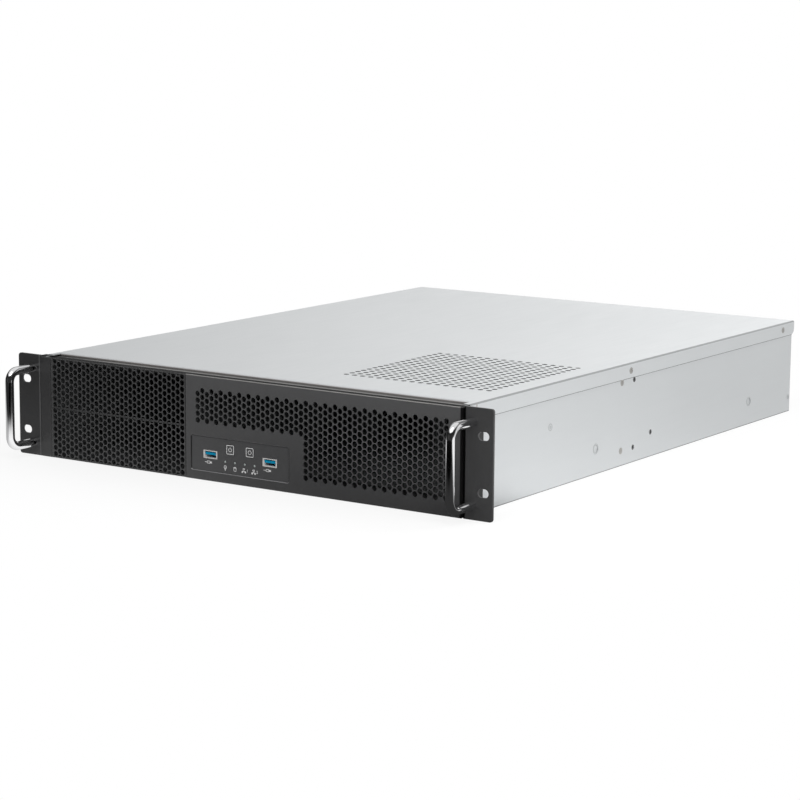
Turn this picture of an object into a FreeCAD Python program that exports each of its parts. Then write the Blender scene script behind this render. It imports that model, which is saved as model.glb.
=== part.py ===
import FreeCAD, Part

import math
import os

from FreeCAD import Vector

# Rack panel, millimetres
rack_width = 482.6
rack_height = 88.1
rack_hole_inset = 8.75
rack_hole_span = rack_width - 2 * rack_hole_inset
rack_hole_rise = 44.45
slot_length = 10.0
slot_width = 7.0

# Case body
ear_reach = 26.3
case_width = rack_width - 2 * ear_reach
case_depth = 593.0
sheet = 1.0
cover_gap = 0.2
bend_inside = 0.6
rear_overhang = 2.5

# Front face, measured forward from the ears' front face
panel_proud = 2.0
panel_sheet = 1.2
panel_side_gap = 0.5
panel_half = case_width / 2 - panel_side_gap
panel_bottom = 0.4
panel_top_gap = 0.9
panel_top = rack_height - panel_top_gap
stile_width = 11.3

# Drive bays behind the two mesh covers
stile_gap = 0.2
bay_control_gap = 5.8
bay_cover_bottom = 1.2
bay_top_gap = 0.35
bay_seam = 0.25
bay_side_gap = 0.7
bay_clip_reach = 12.0
bay_clip_height = 14.0
cage_fan_gap = 87.6
cage_hole_front = 60.0
cage_hole_rear = 51.0
cage_ledge = 8.0

# Perforation; the holes are drawn this many times larger and further apart to keep the model light
coarse = 2.75
mesh_pitch = 5.5 * coarse
mesh_hole = 4.3 * coarse
bay_mesh_pitch = 5.37 * coarse
bay_mesh_hole = 4.2 * coarse
mesh_bay_gap = 10.2
mesh_side_gap = 12.3
mesh_top_gap = 9.6
mesh_control_gap = 10.2
mesh_control_side = 13.8
mesh_full_bottom = 11.2

# Control panel in its recess
control_width = 100.0
control_height = 28.8
control_bottom = 8.2
control_sunk = 0.7
control_lip = 0.5
control_back = 2.3
control_corner = 1.5
post_inset = 7.0
post_radius = 2.5
board_y = 13.0
board_sheet = 1.6

# Buttons and lights
button_size = 9.0
button_corner = 1.5
button_x = 10.0
button_z = 28.5
button_travel = 0.8
button_play = 0.3
button_flange = 1.2
switch_size = 6.0
switch_height = 3.5
light_radius = 0.9
light_x = (-15.1, -5.1, 4.9, 14.9)
light_z = 18.0

# Data ports
port_x = 30.4
port_z = 22.4
port_width = 14.2
port_height = 6.8
port_wall = 0.7
port_depth = 14.0
tongue_width = 11.4
tongue_height = 2.0

# Ears and handles
ear_sheet = 2.0
ear_bend = 2.5
ear_corner = 2.5
ear_leg_depth = 27.0
ear_leg_bottom = 2.0
ear_leg_drop = 15.1
ear_neck = 7.0
ear_screw_y = 17.0
ear_screw_low = 20.0
ear_screw_drop = 30.1
handle_out = 8.0
handle_inset = 11.55
handle_reach = 32.0
handle_rod = 7.5
handle_bend = 9.0
handle_bore = 4.0
handle_bore_depth = 10.0
handle_sides = 12
bend_steps = 4

# Top cover
cover_flange = 13.0
cover_front = 8.0
cover_hem_y = 17.5
cover_hem = 1.8
cover_corner_strip = 6.0
cover_rear_corner = 5.5
cover_screw_ahead = 11.4
cover_screw_rear = 24.5
cover_screw_drop = 6.8
vent_left = 51.0
vent_front = 67.0
vent_side_gap = 16.4
vent_count = 6
vent_hole = 13.0

# Front frame behind the panel
frame_flange_depth = 30.0
frame_side_depth = 25.0
frame_border = 1.8
frame_lintel = 0.6

# Base
return_width = 9.0
notch_width = 3.8
dimple_ahead = 68.6
dimple_rear = 93.0
dimple_z = 22.0
dimple_radius = 4.8
dimple_hole = 1.75
rail_hole_behind = 28.4
rail_hole_radius = 1.6

# Fan wall and fans
board_space = 315.4
fan_height_room = 8.1
fan_depth = 25.0
fan_side_room = 47.0
fan_hole_inset = 4.25
fan_rim = 2.0
fan_sides = 24
fan_hub_radius = 17.0
fan_shaft_radius = 1.5
fan_shaft_gap = 0.05
fan_tip_gap = 2.4
fan_blades = 7
blade_chord = 20.0
blade_thick = 1.4
blade_pitch = 42.0
fan_plate = 3.0
fan_wall_flange = 30.0
fan_screw_ahead = 24.8
fan_open_ahead = 3.2
fan_fix_low = 13.4
fan_fix_drop = 15.7

# Power supply bracket
supply_left = 49.0
supply_side_gap = 16.0
supply_fan_gap = 55.6
supply_flange = 12.0

# Rear panel
rear_inset = 1.0
io_side_gap = 11.2
io_height = 44.45
io_bottom = 10.4
io_slot_gap = 20.05
slot_count = 7
slot_pitch = 20.32
slot_first = 25.0
slot_rib = 7.32
slot_cover_gap = 1.92
slot_recess = 12.5
slot_shelf_drop = 15.1
slot_bottom = 8.0
inlet_side_gap = 47.0
inlet_z = 42.0
inlet_width = 27.6
inlet_height = 20.2
inlet_depth = 20.0
inlet_flange = 3.2
rear_mesh_side = 0.95
rear_mesh_gap = 4.15

# Board standoffs
standoff_height = 6.35
standoff_radius = 3.0
standoff_bore = 1.25
board_columns = (0.0, 157.48, 281.94)
board_front_room = 88.07
board_row_step = 72.39
board_side_gap = 27.0
board_rear_gap = 18.0

# Screws
screw_radius = 1.5
screw_head_radius = 2.75
screw_head = 1.8
screw_gap = 0.1
handle_screw_radius = 1.95
handle_head_radius = 3.5

# Values worked out from the sizes above
half_width = case_width / 2
wall_out = half_width - sheet - cover_gap
wall_in = wall_out - sheet
frame_half = wall_in - 0.1
panel_y0 = -panel_proud
panel_y1 = panel_y0 + panel_sheet
frame_y1 = panel_y1 + sheet
base_front = frame_y1 + 0.1
base_rear = case_depth - rear_overhang
floor_top = sheet
cover_under = rack_height - sheet
shelf_top = cover_under - cover_gap
frame_top = rack_height - cover_hem - 0.2
bay_left = stile_width + stile_gap - panel_half
bay_right = -control_width / 2 - bay_control_gap
bay_cover_height = (panel_top - bay_top_gap - bay_cover_bottom - bay_seam) / 2
bay_cover_pitch = bay_cover_height + bay_seam
mesh_left = bay_right + mesh_bay_gap
mesh_right = panel_half - mesh_side_gap
mesh_top = panel_top - mesh_top_gap
mesh_band_bottom = control_bottom + control_height + mesh_control_gap
mesh_full_left = control_width / 2 + mesh_control_side
post_x = control_width / 2 - post_inset
ear_leg_top = rack_height - ear_leg_drop
ear_screw_z = (ear_screw_low, rack_height - ear_screw_drop)
handle_x = half_width + handle_out
handle_span = rack_height - 2 * handle_inset
fan_wall_y = case_depth - board_space
fan_size = rack_height - fan_height_room
fan_pitch = half_width - fan_size / 2 - fan_side_room
fan_hole_span = fan_size - 2 * fan_hole_inset
fan_bore = fan_size - 2 * fan_rim
fan_screw_y = fan_wall_y - fan_screw_ahead
fan_open_y = fan_wall_y - fan_open_ahead
fan_fix_z = (fan_fix_low, rack_height - fan_fix_drop)
cage_depth = fan_wall_y - cage_fan_gap
cover_screw_y = (fan_wall_y - cover_screw_ahead, case_depth - cover_screw_rear)
vent_side = half_width - vent_side_gap - vent_left
dimple_y = (fan_wall_y - dimple_ahead, case_depth - dimple_rear)
rail_hole_y = fan_wall_y + rail_hole_behind
supply_right = half_width - supply_side_gap
supply_x = (supply_left + supply_right) / 2
supply_width = supply_right - supply_left
supply_y = fan_wall_y - supply_fan_gap
io_right = half_width - io_side_gap
io_width = io_right - slot_first - io_slot_gap
slot_opening = slot_pitch - slot_rib
slot_cover_width = slot_pitch - slot_cover_gap
slot_shelf = rack_height - slot_shelf_drop
inlet_x = inlet_side_gap - half_width
rear_mesh_left = io_right - io_width + rear_mesh_side
rear_mesh_bottom = io_bottom + io_height + rear_mesh_gap
board_corner_x = half_width - board_side_gap
board_last_row = board_space - board_front_room
board_rows = (0.0, board_last_row - board_row_step, board_last_row)
rear_y1 = base_rear - rear_inset
rear_y0 = rear_y1 - sheet
front_reach = handle_reach + handle_rod / 2
centre_y = (case_depth - front_reach) / 2


# Basic shapes
def block(x0, x1, y0, y1, z0, z1):
    return Part.makeBox(x1 - x0, y1 - y0, z1 - z0, Vector(x0, y0, z0))


def rod_y(x, z, radius, y0, y1):
    return Part.makeCylinder(radius, y1 - y0, Vector(x, y0, z), Vector(0, 1, 0))


# Small round things and holes are prisms of a few flat sides
def ring(base, direction, radius, sides):
    way = Vector(*direction)
    across = Vector(0, 0, 1) if abs(way.z) < 0.5 else Vector(1, 0, 0)
    other = way.cross(across)
    corners = []
    for i in range(sides + 1):
        angle = 2 * math.pi * i / sides
        corners.append(base + across * (radius * math.cos(angle)) + other * (radius * math.sin(angle)))
    return Part.makePolygon(corners)


def prism(base, direction, radius, length, sides=6):
    return Part.Face(ring(Vector(*base), direction, radius, sides)).extrude(Vector(*direction) * length)


def taper(base, direction, radius0, radius1, length, sides=6):
    start = Vector(*base)
    end = start + Vector(*direction) * length
    return Part.makeLoft([ring(start, direction, radius0, sides), ring(end, direction, radius1, sides)], True, True)


def hole_x(y, z, radius, x0, x1, sides=6):
    return prism((x0, y, z), (1, 0, 0), radius, x1 - x0, sides)


def hole_y(x, z, radius, y0, y1, sides=6):
    return prism((x, y0, z), (0, 1, 0), radius, y1 - y0, sides)


def hole_z(x, y, radius, z0, z1, sides=6):
    return prism((x, y, z0), (0, 0, 1), radius, z1 - z0, sides)


def fuse(shapes):
    return shapes[0].multiFuse(shapes[1:]).removeSplitter()


def both_sides(shape):
    return [shape, shape.mirror(Vector(0, 0, 0), Vector(1, 0, 0))]


def rounded_block(x0, x1, y0, y1, z0, z1, radius):
    solid = block(x0, x1, y0, y1, z0, z1)
    edges = [e for e in solid.Edges if along(e, Vector(0, 1, 0))]
    return solid.makeFillet(radius, edges)


def chamfered_block(x0, x1, y0, y1, z0, z1, size):
    solid = block(x0, x1, y0, y1, z0, z1)
    edges = [e for e in solid.Edges if along(e, Vector(0, 1, 0))]
    return solid.makeChamfer(size, edges)


def along(edge, direction):
    ends = [v.Point for v in edge.Vertexes]
    return len(ends) == 2 and (ends[1] - ends[0]).cross(direction).Length < 1e-6


# Folded sheet: a strip of constant thickness that follows a line with round bends, or with two flats for each
def folded_profile(points, thickness, radius, place, smooth):
    middle = radius + thickness / 2
    sides = []
    for side in (1, -1):
        edges = []
        start = None
        for i, point in enumerate(points):
            before = unit(points[i - 1], point) if i else None
            after = unit(point, points[i + 1]) if i + 1 < len(points) else None
            if before is None or after is None:
                heading = after or before
                end = shifted(point, heading, side * thickness / 2)
                if start is not None:
                    edges.append(Part.LineSegment(place(*start), place(*end)).toShape())
                start = end
                continue
            turn = math.atan2(cross(before, after), dot(before, after))
            run = middle * math.tan(abs(turn) / 2)
            first = (point[0] - before[0] * run, point[1] - before[1] * run)
            last = (point[0] + after[0] * run, point[1] + after[1] * run)
            left = math.copysign(1, turn)
            centre = shifted(first, before, left * middle)
            reach = middle - left * side * thickness / 2
            middle_out = ((point[0] - centre[0]), (point[1] - centre[1]))
            size = math.hypot(*middle_out)
            via = (centre[0] + middle_out[0] / size * reach, centre[1] + middle_out[1] / size * reach)
            a = shifted(first, before, side * thickness / 2)
            b = shifted(last, after, side * thickness / 2)
            edges.append(Part.LineSegment(place(*start), place(*a)).toShape())
            if smooth:
                edges.append(Part.Arc(place(*a), place(*via), place(*b)).toShape())
            else:
                edges.append(Part.LineSegment(place(*a), place(*via)).toShape())
                edges.append(Part.LineSegment(place(*via), place(*b)).toShape())
            start = b
        sides.append((edges, start))
    ends = []
    for index, heading in ((0, unit(points[0], points[1])), (-1, unit(points[-2], points[-1]))):
        a = shifted(points[index], heading, thickness / 2)
        b = shifted(points[index], heading, -thickness / 2)
        ends.append(Part.LineSegment(place(*a), place(*b)).toShape())
    wire = Part.Wire(Part.__sortEdges__(sides[0][0] + sides[1][0] + ends))
    return Part.Face(wire)


def unit(a, b):
    size = math.hypot(b[0] - a[0], b[1] - a[1])
    return ((b[0] - a[0]) / size, (b[1] - a[1]) / size)


def cross(a, b):
    return a[0] * b[1] - a[1] * b[0]


def dot(a, b):
    return a[0] * b[0] + a[1] * b[1]


def shifted(point, heading, distance):
    return (point[0] - heading[1] * distance, point[1] + heading[0] * distance)


# Fold lines that run along the depth, with points as (x, z)
def fold_along_y(points, thickness, y0, y1, radius=bend_inside, smooth=False):
    face = folded_profile(points, thickness, radius, lambda x, z: Vector(x, y0, z), smooth)
    return face.extrude(Vector(0, y1 - y0, 0))


# Fold lines that run across the width, with points as (y, z)
def fold_along_x(points, thickness, x0, x1, radius=bend_inside, smooth=False):
    face = folded_profile(points, thickness, radius, lambda y, z: Vector(x0, y, z), smooth)
    return face.extrude(Vector(x1 - x0, 0, 0))


# Fold lines that run upwards, with points as (x, y)
def fold_along_z(points, thickness, z0, z1, radius=bend_inside, smooth=False):
    face = folded_profile(points, thickness, radius, lambda x, y: Vector(x, y, z0), smooth)
    return face.extrude(Vector(0, 0, z1 - z0))


# Folds with sharp corners, for the sheets inside the case
def sharp_profile(points, thickness, place):
    loops = []
    for side in (1, -1):
        loop = []
        for i, point in enumerate(points):
            before = unit(points[i - 1], point) if i else None
            after = unit(point, points[i + 1]) if i + 1 < len(points) else None
            if before is None or after is None:
                loop.append(shifted(point, after or before, side * thickness / 2))
                continue
            reach = side * thickness / 2 / (1 + dot(before, after))
            loop.append((point[0] - (before[1] + after[1]) * reach, point[1] + (before[0] + after[0]) * reach))
        loops.append(loop)
    outline = loops[0] + loops[1][::-1]
    return Part.Face(Part.makePolygon([place(*p) for p in outline + outline[:1]]))


def sharp_along_y(points, thickness, y0, y1):
    return sharp_profile(points, thickness, lambda x, z: Vector(x, y0, z)).extrude(Vector(0, y1 - y0, 0))


def sharp_along_x(points, thickness, x0, x1):
    return sharp_profile(points, thickness, lambda y, z: Vector(x0, y, z)).extrude(Vector(x1 - x0, 0, 0))


def sharp_along_z(points, thickness, z0, z1):
    return sharp_profile(points, thickness, lambda x, y: Vector(x, y, z0)).extrude(Vector(0, 0, z1 - z0))


# Honeycomb of six-sided holes in a wall that faces along the depth
def hex_prism_y(x, z, flats, y0, y1):
    radius = flats / math.sqrt(3)
    corners = [Vector(x + radius * math.cos(math.radians(a)), y0, z + radius * math.sin(math.radians(a)))
               for a in range(0, 361, 60)]
    return Part.Face(Part.makePolygon(corners)).extrude(Vector(0, y1 - y0, 0))


def hex_prism_z(x, y, flats, z0, z1):
    radius = flats / math.sqrt(3)
    corners = [Vector(x + radius * math.cos(math.radians(a)), y + radius * math.sin(math.radians(a)), z0)
               for a in range(0, 361, 60)]
    return Part.Face(Part.makePolygon(corners)).extrude(Vector(0, 0, z1 - z0))


def honeycomb(x0, x1, top, bottom_at, pitch, flats, y0, y1):
    step = pitch * math.sqrt(3) / 2
    across = flats / math.sqrt(3)
    columns = int((x1 - x0 - 2 * across) / step + 1e-6) + 1
    start = (x0 + x1 - (columns - 1) * step) / 2
    holes = []
    for column in range(columns):
        x = start + column * step
        bottom = bottom_at(x - across)
        z = top - flats / 2 - (pitch / 2 if column % 2 == 0 else 0)
        while z - flats / 2 > bottom - 1e-6:
            holes.append(hex_prism_y(x, z, flats, y0, y1))
            z -= pitch
    return holes


# Screws
def pan_screw(base, direction, length, radius=screw_radius, head_radius=screw_head_radius, head=screw_head):
    shank = prism(base, direction, radius, length)
    start = Vector(*base) - Vector(*direction) * head
    cap = prism(tuple(start), direction, head_radius, head)
    return fuse([cap, shank])


def flush_screw(base, direction, length, depth):
    head = taper(base, direction, screw_head_radius, screw_radius, depth)
    shank = prism(base, direction, screw_radius, length)
    return fuse([head, shank])


# Base: floor, two folded sides and their inward returns
def base_pan():
    x = wall_out - sheet / 2
    z_top = shelf_top - sheet / 2
    line = [(-x + return_width, z_top), (-x, z_top), (-x, sheet / 2),
            (x, sheet / 2), (x, z_top), (x - return_width, z_top)]
    pan = sharp_along_y(line, sheet, base_front, base_rear)
    bends = [e for e in pan.Edges if along(e, Vector(0, 1, 0)) and abs(e.CenterOfMass.x) > wall_out - 0.01]
    pan = pan.makeChamfer(bend_inside, bends)
    cuts = [block(-wall_in, wall_in, base_front - 1, frame_flange_depth + 2, frame_top - 2 * sheet, rack_height)]
    cuts.append(block(-wall_in, wall_in, rear_y0 - slot_recess, base_rear + 1, frame_top - 2 * sheet, rack_height))
    cuts += [notch for y in cover_screw_y for notch in cover_screw_notches(y)]
    for y in dimple_y:
        hole = hole_x(y, dimple_z, dimple_hole, wall_in - 1, half_width, 8)
        dish = taper((wall_out, y, dimple_z), (-1, 0, 0), dimple_radius, dimple_hole, sheet * 0.6, 8)
        cuts += both_sides(hole.fuse(dish))
    cuts += both_sides(hole_x(rail_hole_y, dimple_z, rail_hole_radius, wall_in - 1, half_width))
    for z in fan_fix_z:
        cuts += both_sides(side_screw_hole(fan_screw_y, z))
        cuts += both_sides(hole_x(fan_open_y, z, screw_radius + screw_gap, wall_in - 1, half_width))
    for z in ear_screw_z:
        cuts += both_sides(hole_x(ear_screw_y, z, screw_radius + screw_gap, wall_in - 1, half_width))
    cuts += [hole_z(x, y, screw_radius + screw_gap, -1, sheet + 1) for x, y in floor_screw_places()]
    return pan.cut(Part.makeCompound(cuts))


# Notches, open at the top, that let the cover come off with its screws in it
def cover_screw_notches(y):
    low = rack_height - cover_screw_drop - notch_width / 2
    return both_sides(block(wall_in - return_width, half_width, y - notch_width / 2, y + notch_width / 2, low,
                            rack_height))


def side_screw_hole(y, z):
    dish = taper((wall_out, y, z), (-1, 0, 0), screw_head_radius + screw_gap, screw_radius + screw_gap, sheet * 0.8)
    return dish.fuse(hole_x(y, z, screw_radius + screw_gap, wall_in - 1, wall_out))


# Screws that hold the cage and the bracket to the floor
def floor_screw_places():
    cage_x = (bay_left + 12, bay_right - 12)
    cage_y = (40.0, cage_depth - 30)
    supply = [(supply_x - supply_width / 3, supply_y + supply_flange / 2 + sheet / 2),
              (supply_x + supply_width / 3, supply_y + supply_flange / 2 + sheet / 2)]
    return [(x, y) for x in cage_x for y in cage_y] + supply


def floor_screws():
    top = floor_top + sheet
    return [pan_screw((x, y, top), (0, 0, -1), 2 * sheet) for x, y in floor_screw_places()]


# Black frame behind the front panel, with windows for the bays, the mesh and the controls: the folded top
# strip is one piece, welded along the upper edge of the wall
def front_frame():
    y = frame_y1 - sheet / 2
    z_top = frame_top - sheet / 2
    wall = fold_along_x([(y, floor_top + 0.1), (y, z_top), (frame_flange_depth, z_top)], sheet,
                        -frame_half, frame_half)
    x = frame_half - sheet / 2
    z_side = frame_top - 2 * sheet
    side = block(frame_half - sheet, frame_half, panel_y1, frame_side_depth, floor_top + 0.1, z_side)
    body = fuse([wall] + both_sides(side))
    ceiling = frame_top - sheet - frame_lintel
    cuts = [block(bay_left, bay_right, panel_y1 - 1, frame_y1 + 1, floor_top + frame_border, ceiling)]
    band = block(mesh_left - frame_border, mesh_right + frame_border, panel_y1 - 1, frame_y1 + 1,
                 mesh_band_bottom - frame_border, mesh_top + frame_border)
    tall = block(mesh_full_left - frame_border, mesh_right + frame_border, panel_y1 - 1, frame_y1 + 1,
                 mesh_full_bottom - frame_border, mesh_top + frame_border)
    inset = control_corner
    window = block(-control_width / 2 + inset, control_width / 2 - inset, panel_y1 - 1, frame_y1 + 1,
                   control_bottom + inset, control_bottom + control_height - inset)
    cuts += [band, tall, window]
    for z in ear_screw_z:
        cuts += both_sides(hole_x(ear_screw_y, z, screw_radius + screw_gap, frame_half - 2 * sheet, half_width))
    cuts += [hole_y(px, pz, screw_radius + screw_gap, panel_y1 - 1, frame_y1 + 1) for px, pz in panel_screw_places()]
    frame = body.cut(Part.makeCompound(cuts))
    above = block(-half_width, half_width, panel_y1 - 1, frame_flange_depth + 1, ceiling, rack_height)
    return [frame.cut(above), frame.common(above)]


def panel_screw_places():
    stile_x = -panel_half + stile_width / 2
    right_x = mesh_right + (panel_half - mesh_right) * 0.4
    heights = (panel_bottom + 12, panel_top - 8)
    return [(x, z) for x in (stile_x, right_x) for z in heights]


def panel_screws():
    reach = sheet + panel_sheet * 0.6
    return [pan_screw((x, frame_y1, z), (0, -1, 0), reach) for x, z in panel_screw_places()]


def blind_holes(places):
    return [hole_y(x, z, screw_radius + screw_gap / 2, panel_y1 - panel_sheet * 0.65, panel_y1 + 1) for x, z in places]


# Front panel: plate with the honeycomb and the opening for the controls
def front_panel():
    left = bay_right + bay_side_gap / 2
    plate = block(left, panel_half, panel_y0, panel_y1, panel_bottom, panel_top)
    front = [e for e in plate.Edges if e.CenterOfMass.y < panel_y0 + 1e-6]
    plate = plate.makeChamfer(panel_sheet * 0.3, front)
    opening = rounded_block(-control_width / 2, control_width / 2, panel_y0 - 1, panel_y1 + 1,
                            control_bottom, control_bottom + control_height, control_corner)

    def bottom_at(x):
        return mesh_full_bottom if x > mesh_full_left else mesh_band_bottom

    holes = honeycomb(mesh_left, mesh_right, mesh_top, bottom_at, mesh_pitch, mesh_hole, panel_y0 - 1, panel_y1 + 1)
    places = [p for p in panel_screw_places() if p[0] > 0]
    return plate.cut(Part.makeCompound([opening] + holes + blind_holes(places)))


def left_stile():
    plate = block(-panel_half, -panel_half + stile_width, panel_y0, panel_y1, panel_bottom, panel_top)
    front = [e for e in plate.Edges if e.CenterOfMass.y < panel_y0 + 1e-6]
    plate = plate.makeChamfer(panel_sheet * 0.3, front)
    places = [p for p in panel_screw_places() if p[0] < 0]
    return plate.cut(Part.makeCompound(blind_holes(places)))


# One mesh cover of a drive bay, and the two spring clips on the back of its ends
def bay_cover(level):
    x0 = bay_left + bay_side_gap
    x1 = bay_right - bay_side_gap
    z0 = bay_cover_bottom + level * bay_cover_pitch
    z1 = z0 + bay_cover_height
    y1 = panel_y1 - 0.1
    plate = block(x0, x1, panel_y0, y1, z0, z1)
    front = [e for e in plate.Edges if e.CenterOfMass.y < panel_y0 + 1e-6]
    plate = plate.makeChamfer(panel_sheet * 0.3, front)
    margin = (bay_mesh_pitch - bay_mesh_hole) / 2
    holes = honeycomb(x0 + 1.5, x1 - 1.5, z1 - margin, lambda x: z0 + margin, bay_mesh_pitch, bay_mesh_hole,
                      panel_y0 - 1, y1 + 1)
    middle = (z0 + z1) / 2
    clips = []
    for edge, way in ((bay_left + 0.3, 1), (bay_right - 0.3, -1)):
        a = edge
        b = edge + way * sheet * 0.8
        clips.append(block(min(a, b), max(a, b), y1, y1 + bay_clip_reach,
                           middle - bay_clip_height / 2, middle + bay_clip_height / 2))
    return [plate.cut(Part.makeCompound(holes))] + clips


# Cage of the drive bays: floor, two walls with top returns and ledges for the upper drive
def bay_cage():
    x0 = bay_left - sheet / 2
    x1 = bay_right + sheet / 2
    y0 = frame_y1 + bend_inside + 0.1
    z0 = floor_top + sheet / 2
    z1 = frame_top - 1.5 * sheet - 0.1
    line = [(x0 - cage_ledge, z1), (x0, z1), (x0, z0), (x1, z0), (x1, z1), (x1 + cage_ledge, z1)]
    cage = sharp_along_y(line, sheet, y0, cage_depth)
    ledge_z = bay_cover_bottom + bay_cover_pitch - sheet / 2
    ledges = [block(bay_left - 0.1, bay_left + cage_ledge, y0 + 20, cage_depth - 10, ledge_z - sheet / 2,
                    ledge_z + sheet / 2),
              block(bay_right - cage_ledge, bay_right + 0.1, y0 + 20, cage_depth - 10, ledge_z - sheet / 2,
                    ledge_z + sheet / 2)]
    cuts = [hole_z(x, y, screw_radius + screw_gap, 0, floor_top + 2 * sheet) for x, y in floor_screw_places()[:4]]
    for level in (0, 1):
        z = bay_cover_bottom + level * bay_cover_pitch + 12
        for y in (cage_hole_front, cage_depth - cage_hole_rear):
            cuts.append(block(bay_left - 3, bay_right + 3, y - 5, y + 5, z - 1.7, z + 1.7))
    return fuse([cage] + ledges).cut(Part.makeCompound(cuts))


# Control panel: thin face in the panel's opening and a thicker back through the frame's window
def control_panel():
    y0 = panel_y0 + control_sunk
    x = control_width / 2 - 0.15
    z0 = control_bottom + 0.15
    z1 = control_bottom + control_height - 0.15
    face = rounded_block(-x, x, y0, panel_y1, z0, z1, control_corner)
    inset = control_corner + 0.2
    back = block(-control_width / 2 + inset, control_width / 2 - inset, panel_y1, panel_y1 + control_back,
                 control_bottom + inset, control_bottom + control_height - inset)
    posts = [hole_y(x, light_z, post_radius, panel_y1, board_y, 8) for x in (-post_x, post_x)]
    body = fuse([face, back] + posts)
    cuts = []
    for x in (-button_x, button_x):
        half = button_size / 2 + 0.15
        cuts.append(chamfered_block(x - half, x + half, y0 - 1, board_y, button_z - half, button_z + half,
                                    button_corner * 0.6))
    for x in light_x:
        cuts.append(hole_y(x, light_z, light_radius + 0.05, y0 - 1, board_y))
    for x in (-port_x, port_x):
        cuts.append(block(x - port_width / 2 - 0.1, x + port_width / 2 + 0.1, y0 - 1, board_y,
                          port_z - port_height / 2 - 0.1, port_z + port_height / 2 + 0.1))
    cuts += [hole_y(x, light_z, screw_radius + screw_gap, board_y - 6, board_y + 1) for x in (-post_x, post_x)]
    return body.cut(Part.makeCompound(cuts))


def control_board():
    board = block(-post_x - 4, post_x + 4, board_y, board_y + board_sheet, control_bottom + 2,
                  control_bottom + control_height - 1)
    holes = [hole_y(x, light_z, screw_radius + screw_gap, board_y - 1, board_y + 5) for x in (-post_x, post_x)]
    return board.cut(Part.makeCompound(holes))


def control_board_screws():
    y = board_y + board_sheet
    return [pan_screw((x, y, light_z), (0, -1, 0), board_sheet + 4) for x in (-post_x, post_x)]


# Push button: cap through the control panel, collar behind it and a stem towards its switch
def button(x):
    y0 = panel_y0 + control_sunk
    back = panel_y1 + control_back
    half = button_size / 2
    cap = chamfered_block(x - half, x + half, y0, back + 0.1 + button_flange, button_z - half, button_z + half,
                          button_corner * 0.6)
    collar = half + 0.9
    flange = block(x - collar, x + collar, back + 0.1, back + 0.1 + button_flange, button_z - half,
                   button_z + half)
    stem_end = board_y - switch_height - 1.0 - button_travel - 0.1
    stem = hole_y(x, button_z, 1.8, back + 1, stem_end)
    return fuse([cap, flange, stem])


def switch(x):
    half = switch_size / 2
    body = block(x - half, x + half, board_y - switch_height, board_y, button_z - half, button_z + half)
    plunger = hole_y(x, button_z, 1.7, board_y - switch_height - 1.0, board_y - switch_height)
    return fuse([body, plunger])


def status_light(x):
    return hole_y(x, light_z, light_radius, panel_y0 + control_sunk, board_y)


# Data port: steel shell with a mouth, and the tongue inside it
def port_shell(x):
    y0 = panel_y0 + control_sunk - 0.2
    w = port_width / 2
    h = port_height / 2
    lip = block(x - w, x + w, y0, y0 + 0.6, port_z - h, port_z + h)
    tube = block(x - w + 0.4, x + w - 0.4, y0, board_y, port_z - h + 0.4, port_z + h - 0.4)
    inner = block(x - w + 0.4 + port_wall, x + w - 0.4 - port_wall, y0 - 1, board_y + 1,
                  port_z - h + 0.4 + port_wall / 2, port_z + h - 0.4 - port_wall / 2)
    return fuse([lip, tube]).cut(inner)


def port_tongue(x):
    y0 = panel_y0 + control_sunk + 0.6
    z = port_z + port_height / 10
    blade = block(x - tongue_width / 2, x + tongue_width / 2, y0, board_y, z - tongue_height / 2,
                  z + tongue_height / 2)
    w = port_width / 2 - 0.45 - port_wall
    h = port_height / 2 - 0.45 - port_wall / 2
    root = block(x - w, x + w, board_y - 4, board_y, port_z - h, port_z + h)
    return fuse([blade, root])


# Right-hand rack ear: face plate with slots, round bend and a leg on the case side
def ear():
    out = rack_width / 2
    x = wall_out + ear_sheet / 2
    y = ear_sheet / 2
    plate = fold_along_z([(out, y), (x, y), (x, ear_leg_depth)], ear_sheet, 0, rack_height,
                         ear_bend - ear_sheet, True)
    corner = [e for e in plate.Edges if along(e, Vector(0, 1, 0)) and e.CenterOfMass.x > out - 0.01]
    plate = plate.makeFillet(ear_corner, corner)
    back = ear_leg_depth + 1
    cuts = [block(wall_out - 1, x + ear_sheet, ear_neck, back, ear_leg_top, rack_height + 1),
            block(wall_out - 1, x + ear_sheet, ear_neck, back, -1, ear_leg_bottom)]
    for z in rack_slot_heights():
        cuts.append(slot_cut(rack_hole_span / 2, z))
    for z in handle_heights():
        cuts.append(hole_y(handle_x, z, handle_screw_radius + screw_gap, -1, ear_sheet + 1))
    for z in ear_screw_z:
        cuts.append(hole_x(ear_screw_y, z, screw_radius + screw_gap, wall_out - 1, x + ear_sheet))
    return plate.cut(Part.makeCompound(cuts))


def rack_slot_heights():
    middle = rack_height / 2
    return (middle - rack_hole_rise / 2, middle + rack_hole_rise / 2)


def slot_cut(x, z):
    radius = slot_width / 2
    run = (slot_length - slot_width) / 2
    bar = block(x - run, x + run, -1, ear_sheet + 1, z - radius, z + radius)
    ends = [rod_y(x + side * run, z, radius, -1, ear_sheet + 1) for side in (-1, 1)]
    return fuse([bar] + ends)


def ear_screws():
    base = wall_out + ear_sheet
    grip = ear_sheet + 2 * sheet + 1.5
    screws = [pan_screw((base, ear_screw_y, z), (-1, 0, 0), grip) for z in ear_screw_z]
    return [s for screw in screws for s in both_sides(screw)]


# Chromed handle: round rod bent to a U, with a screw hole in each end
def handle_heights():
    middle = rack_height / 2
    return (middle - handle_span / 2, middle + handle_span / 2)


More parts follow.
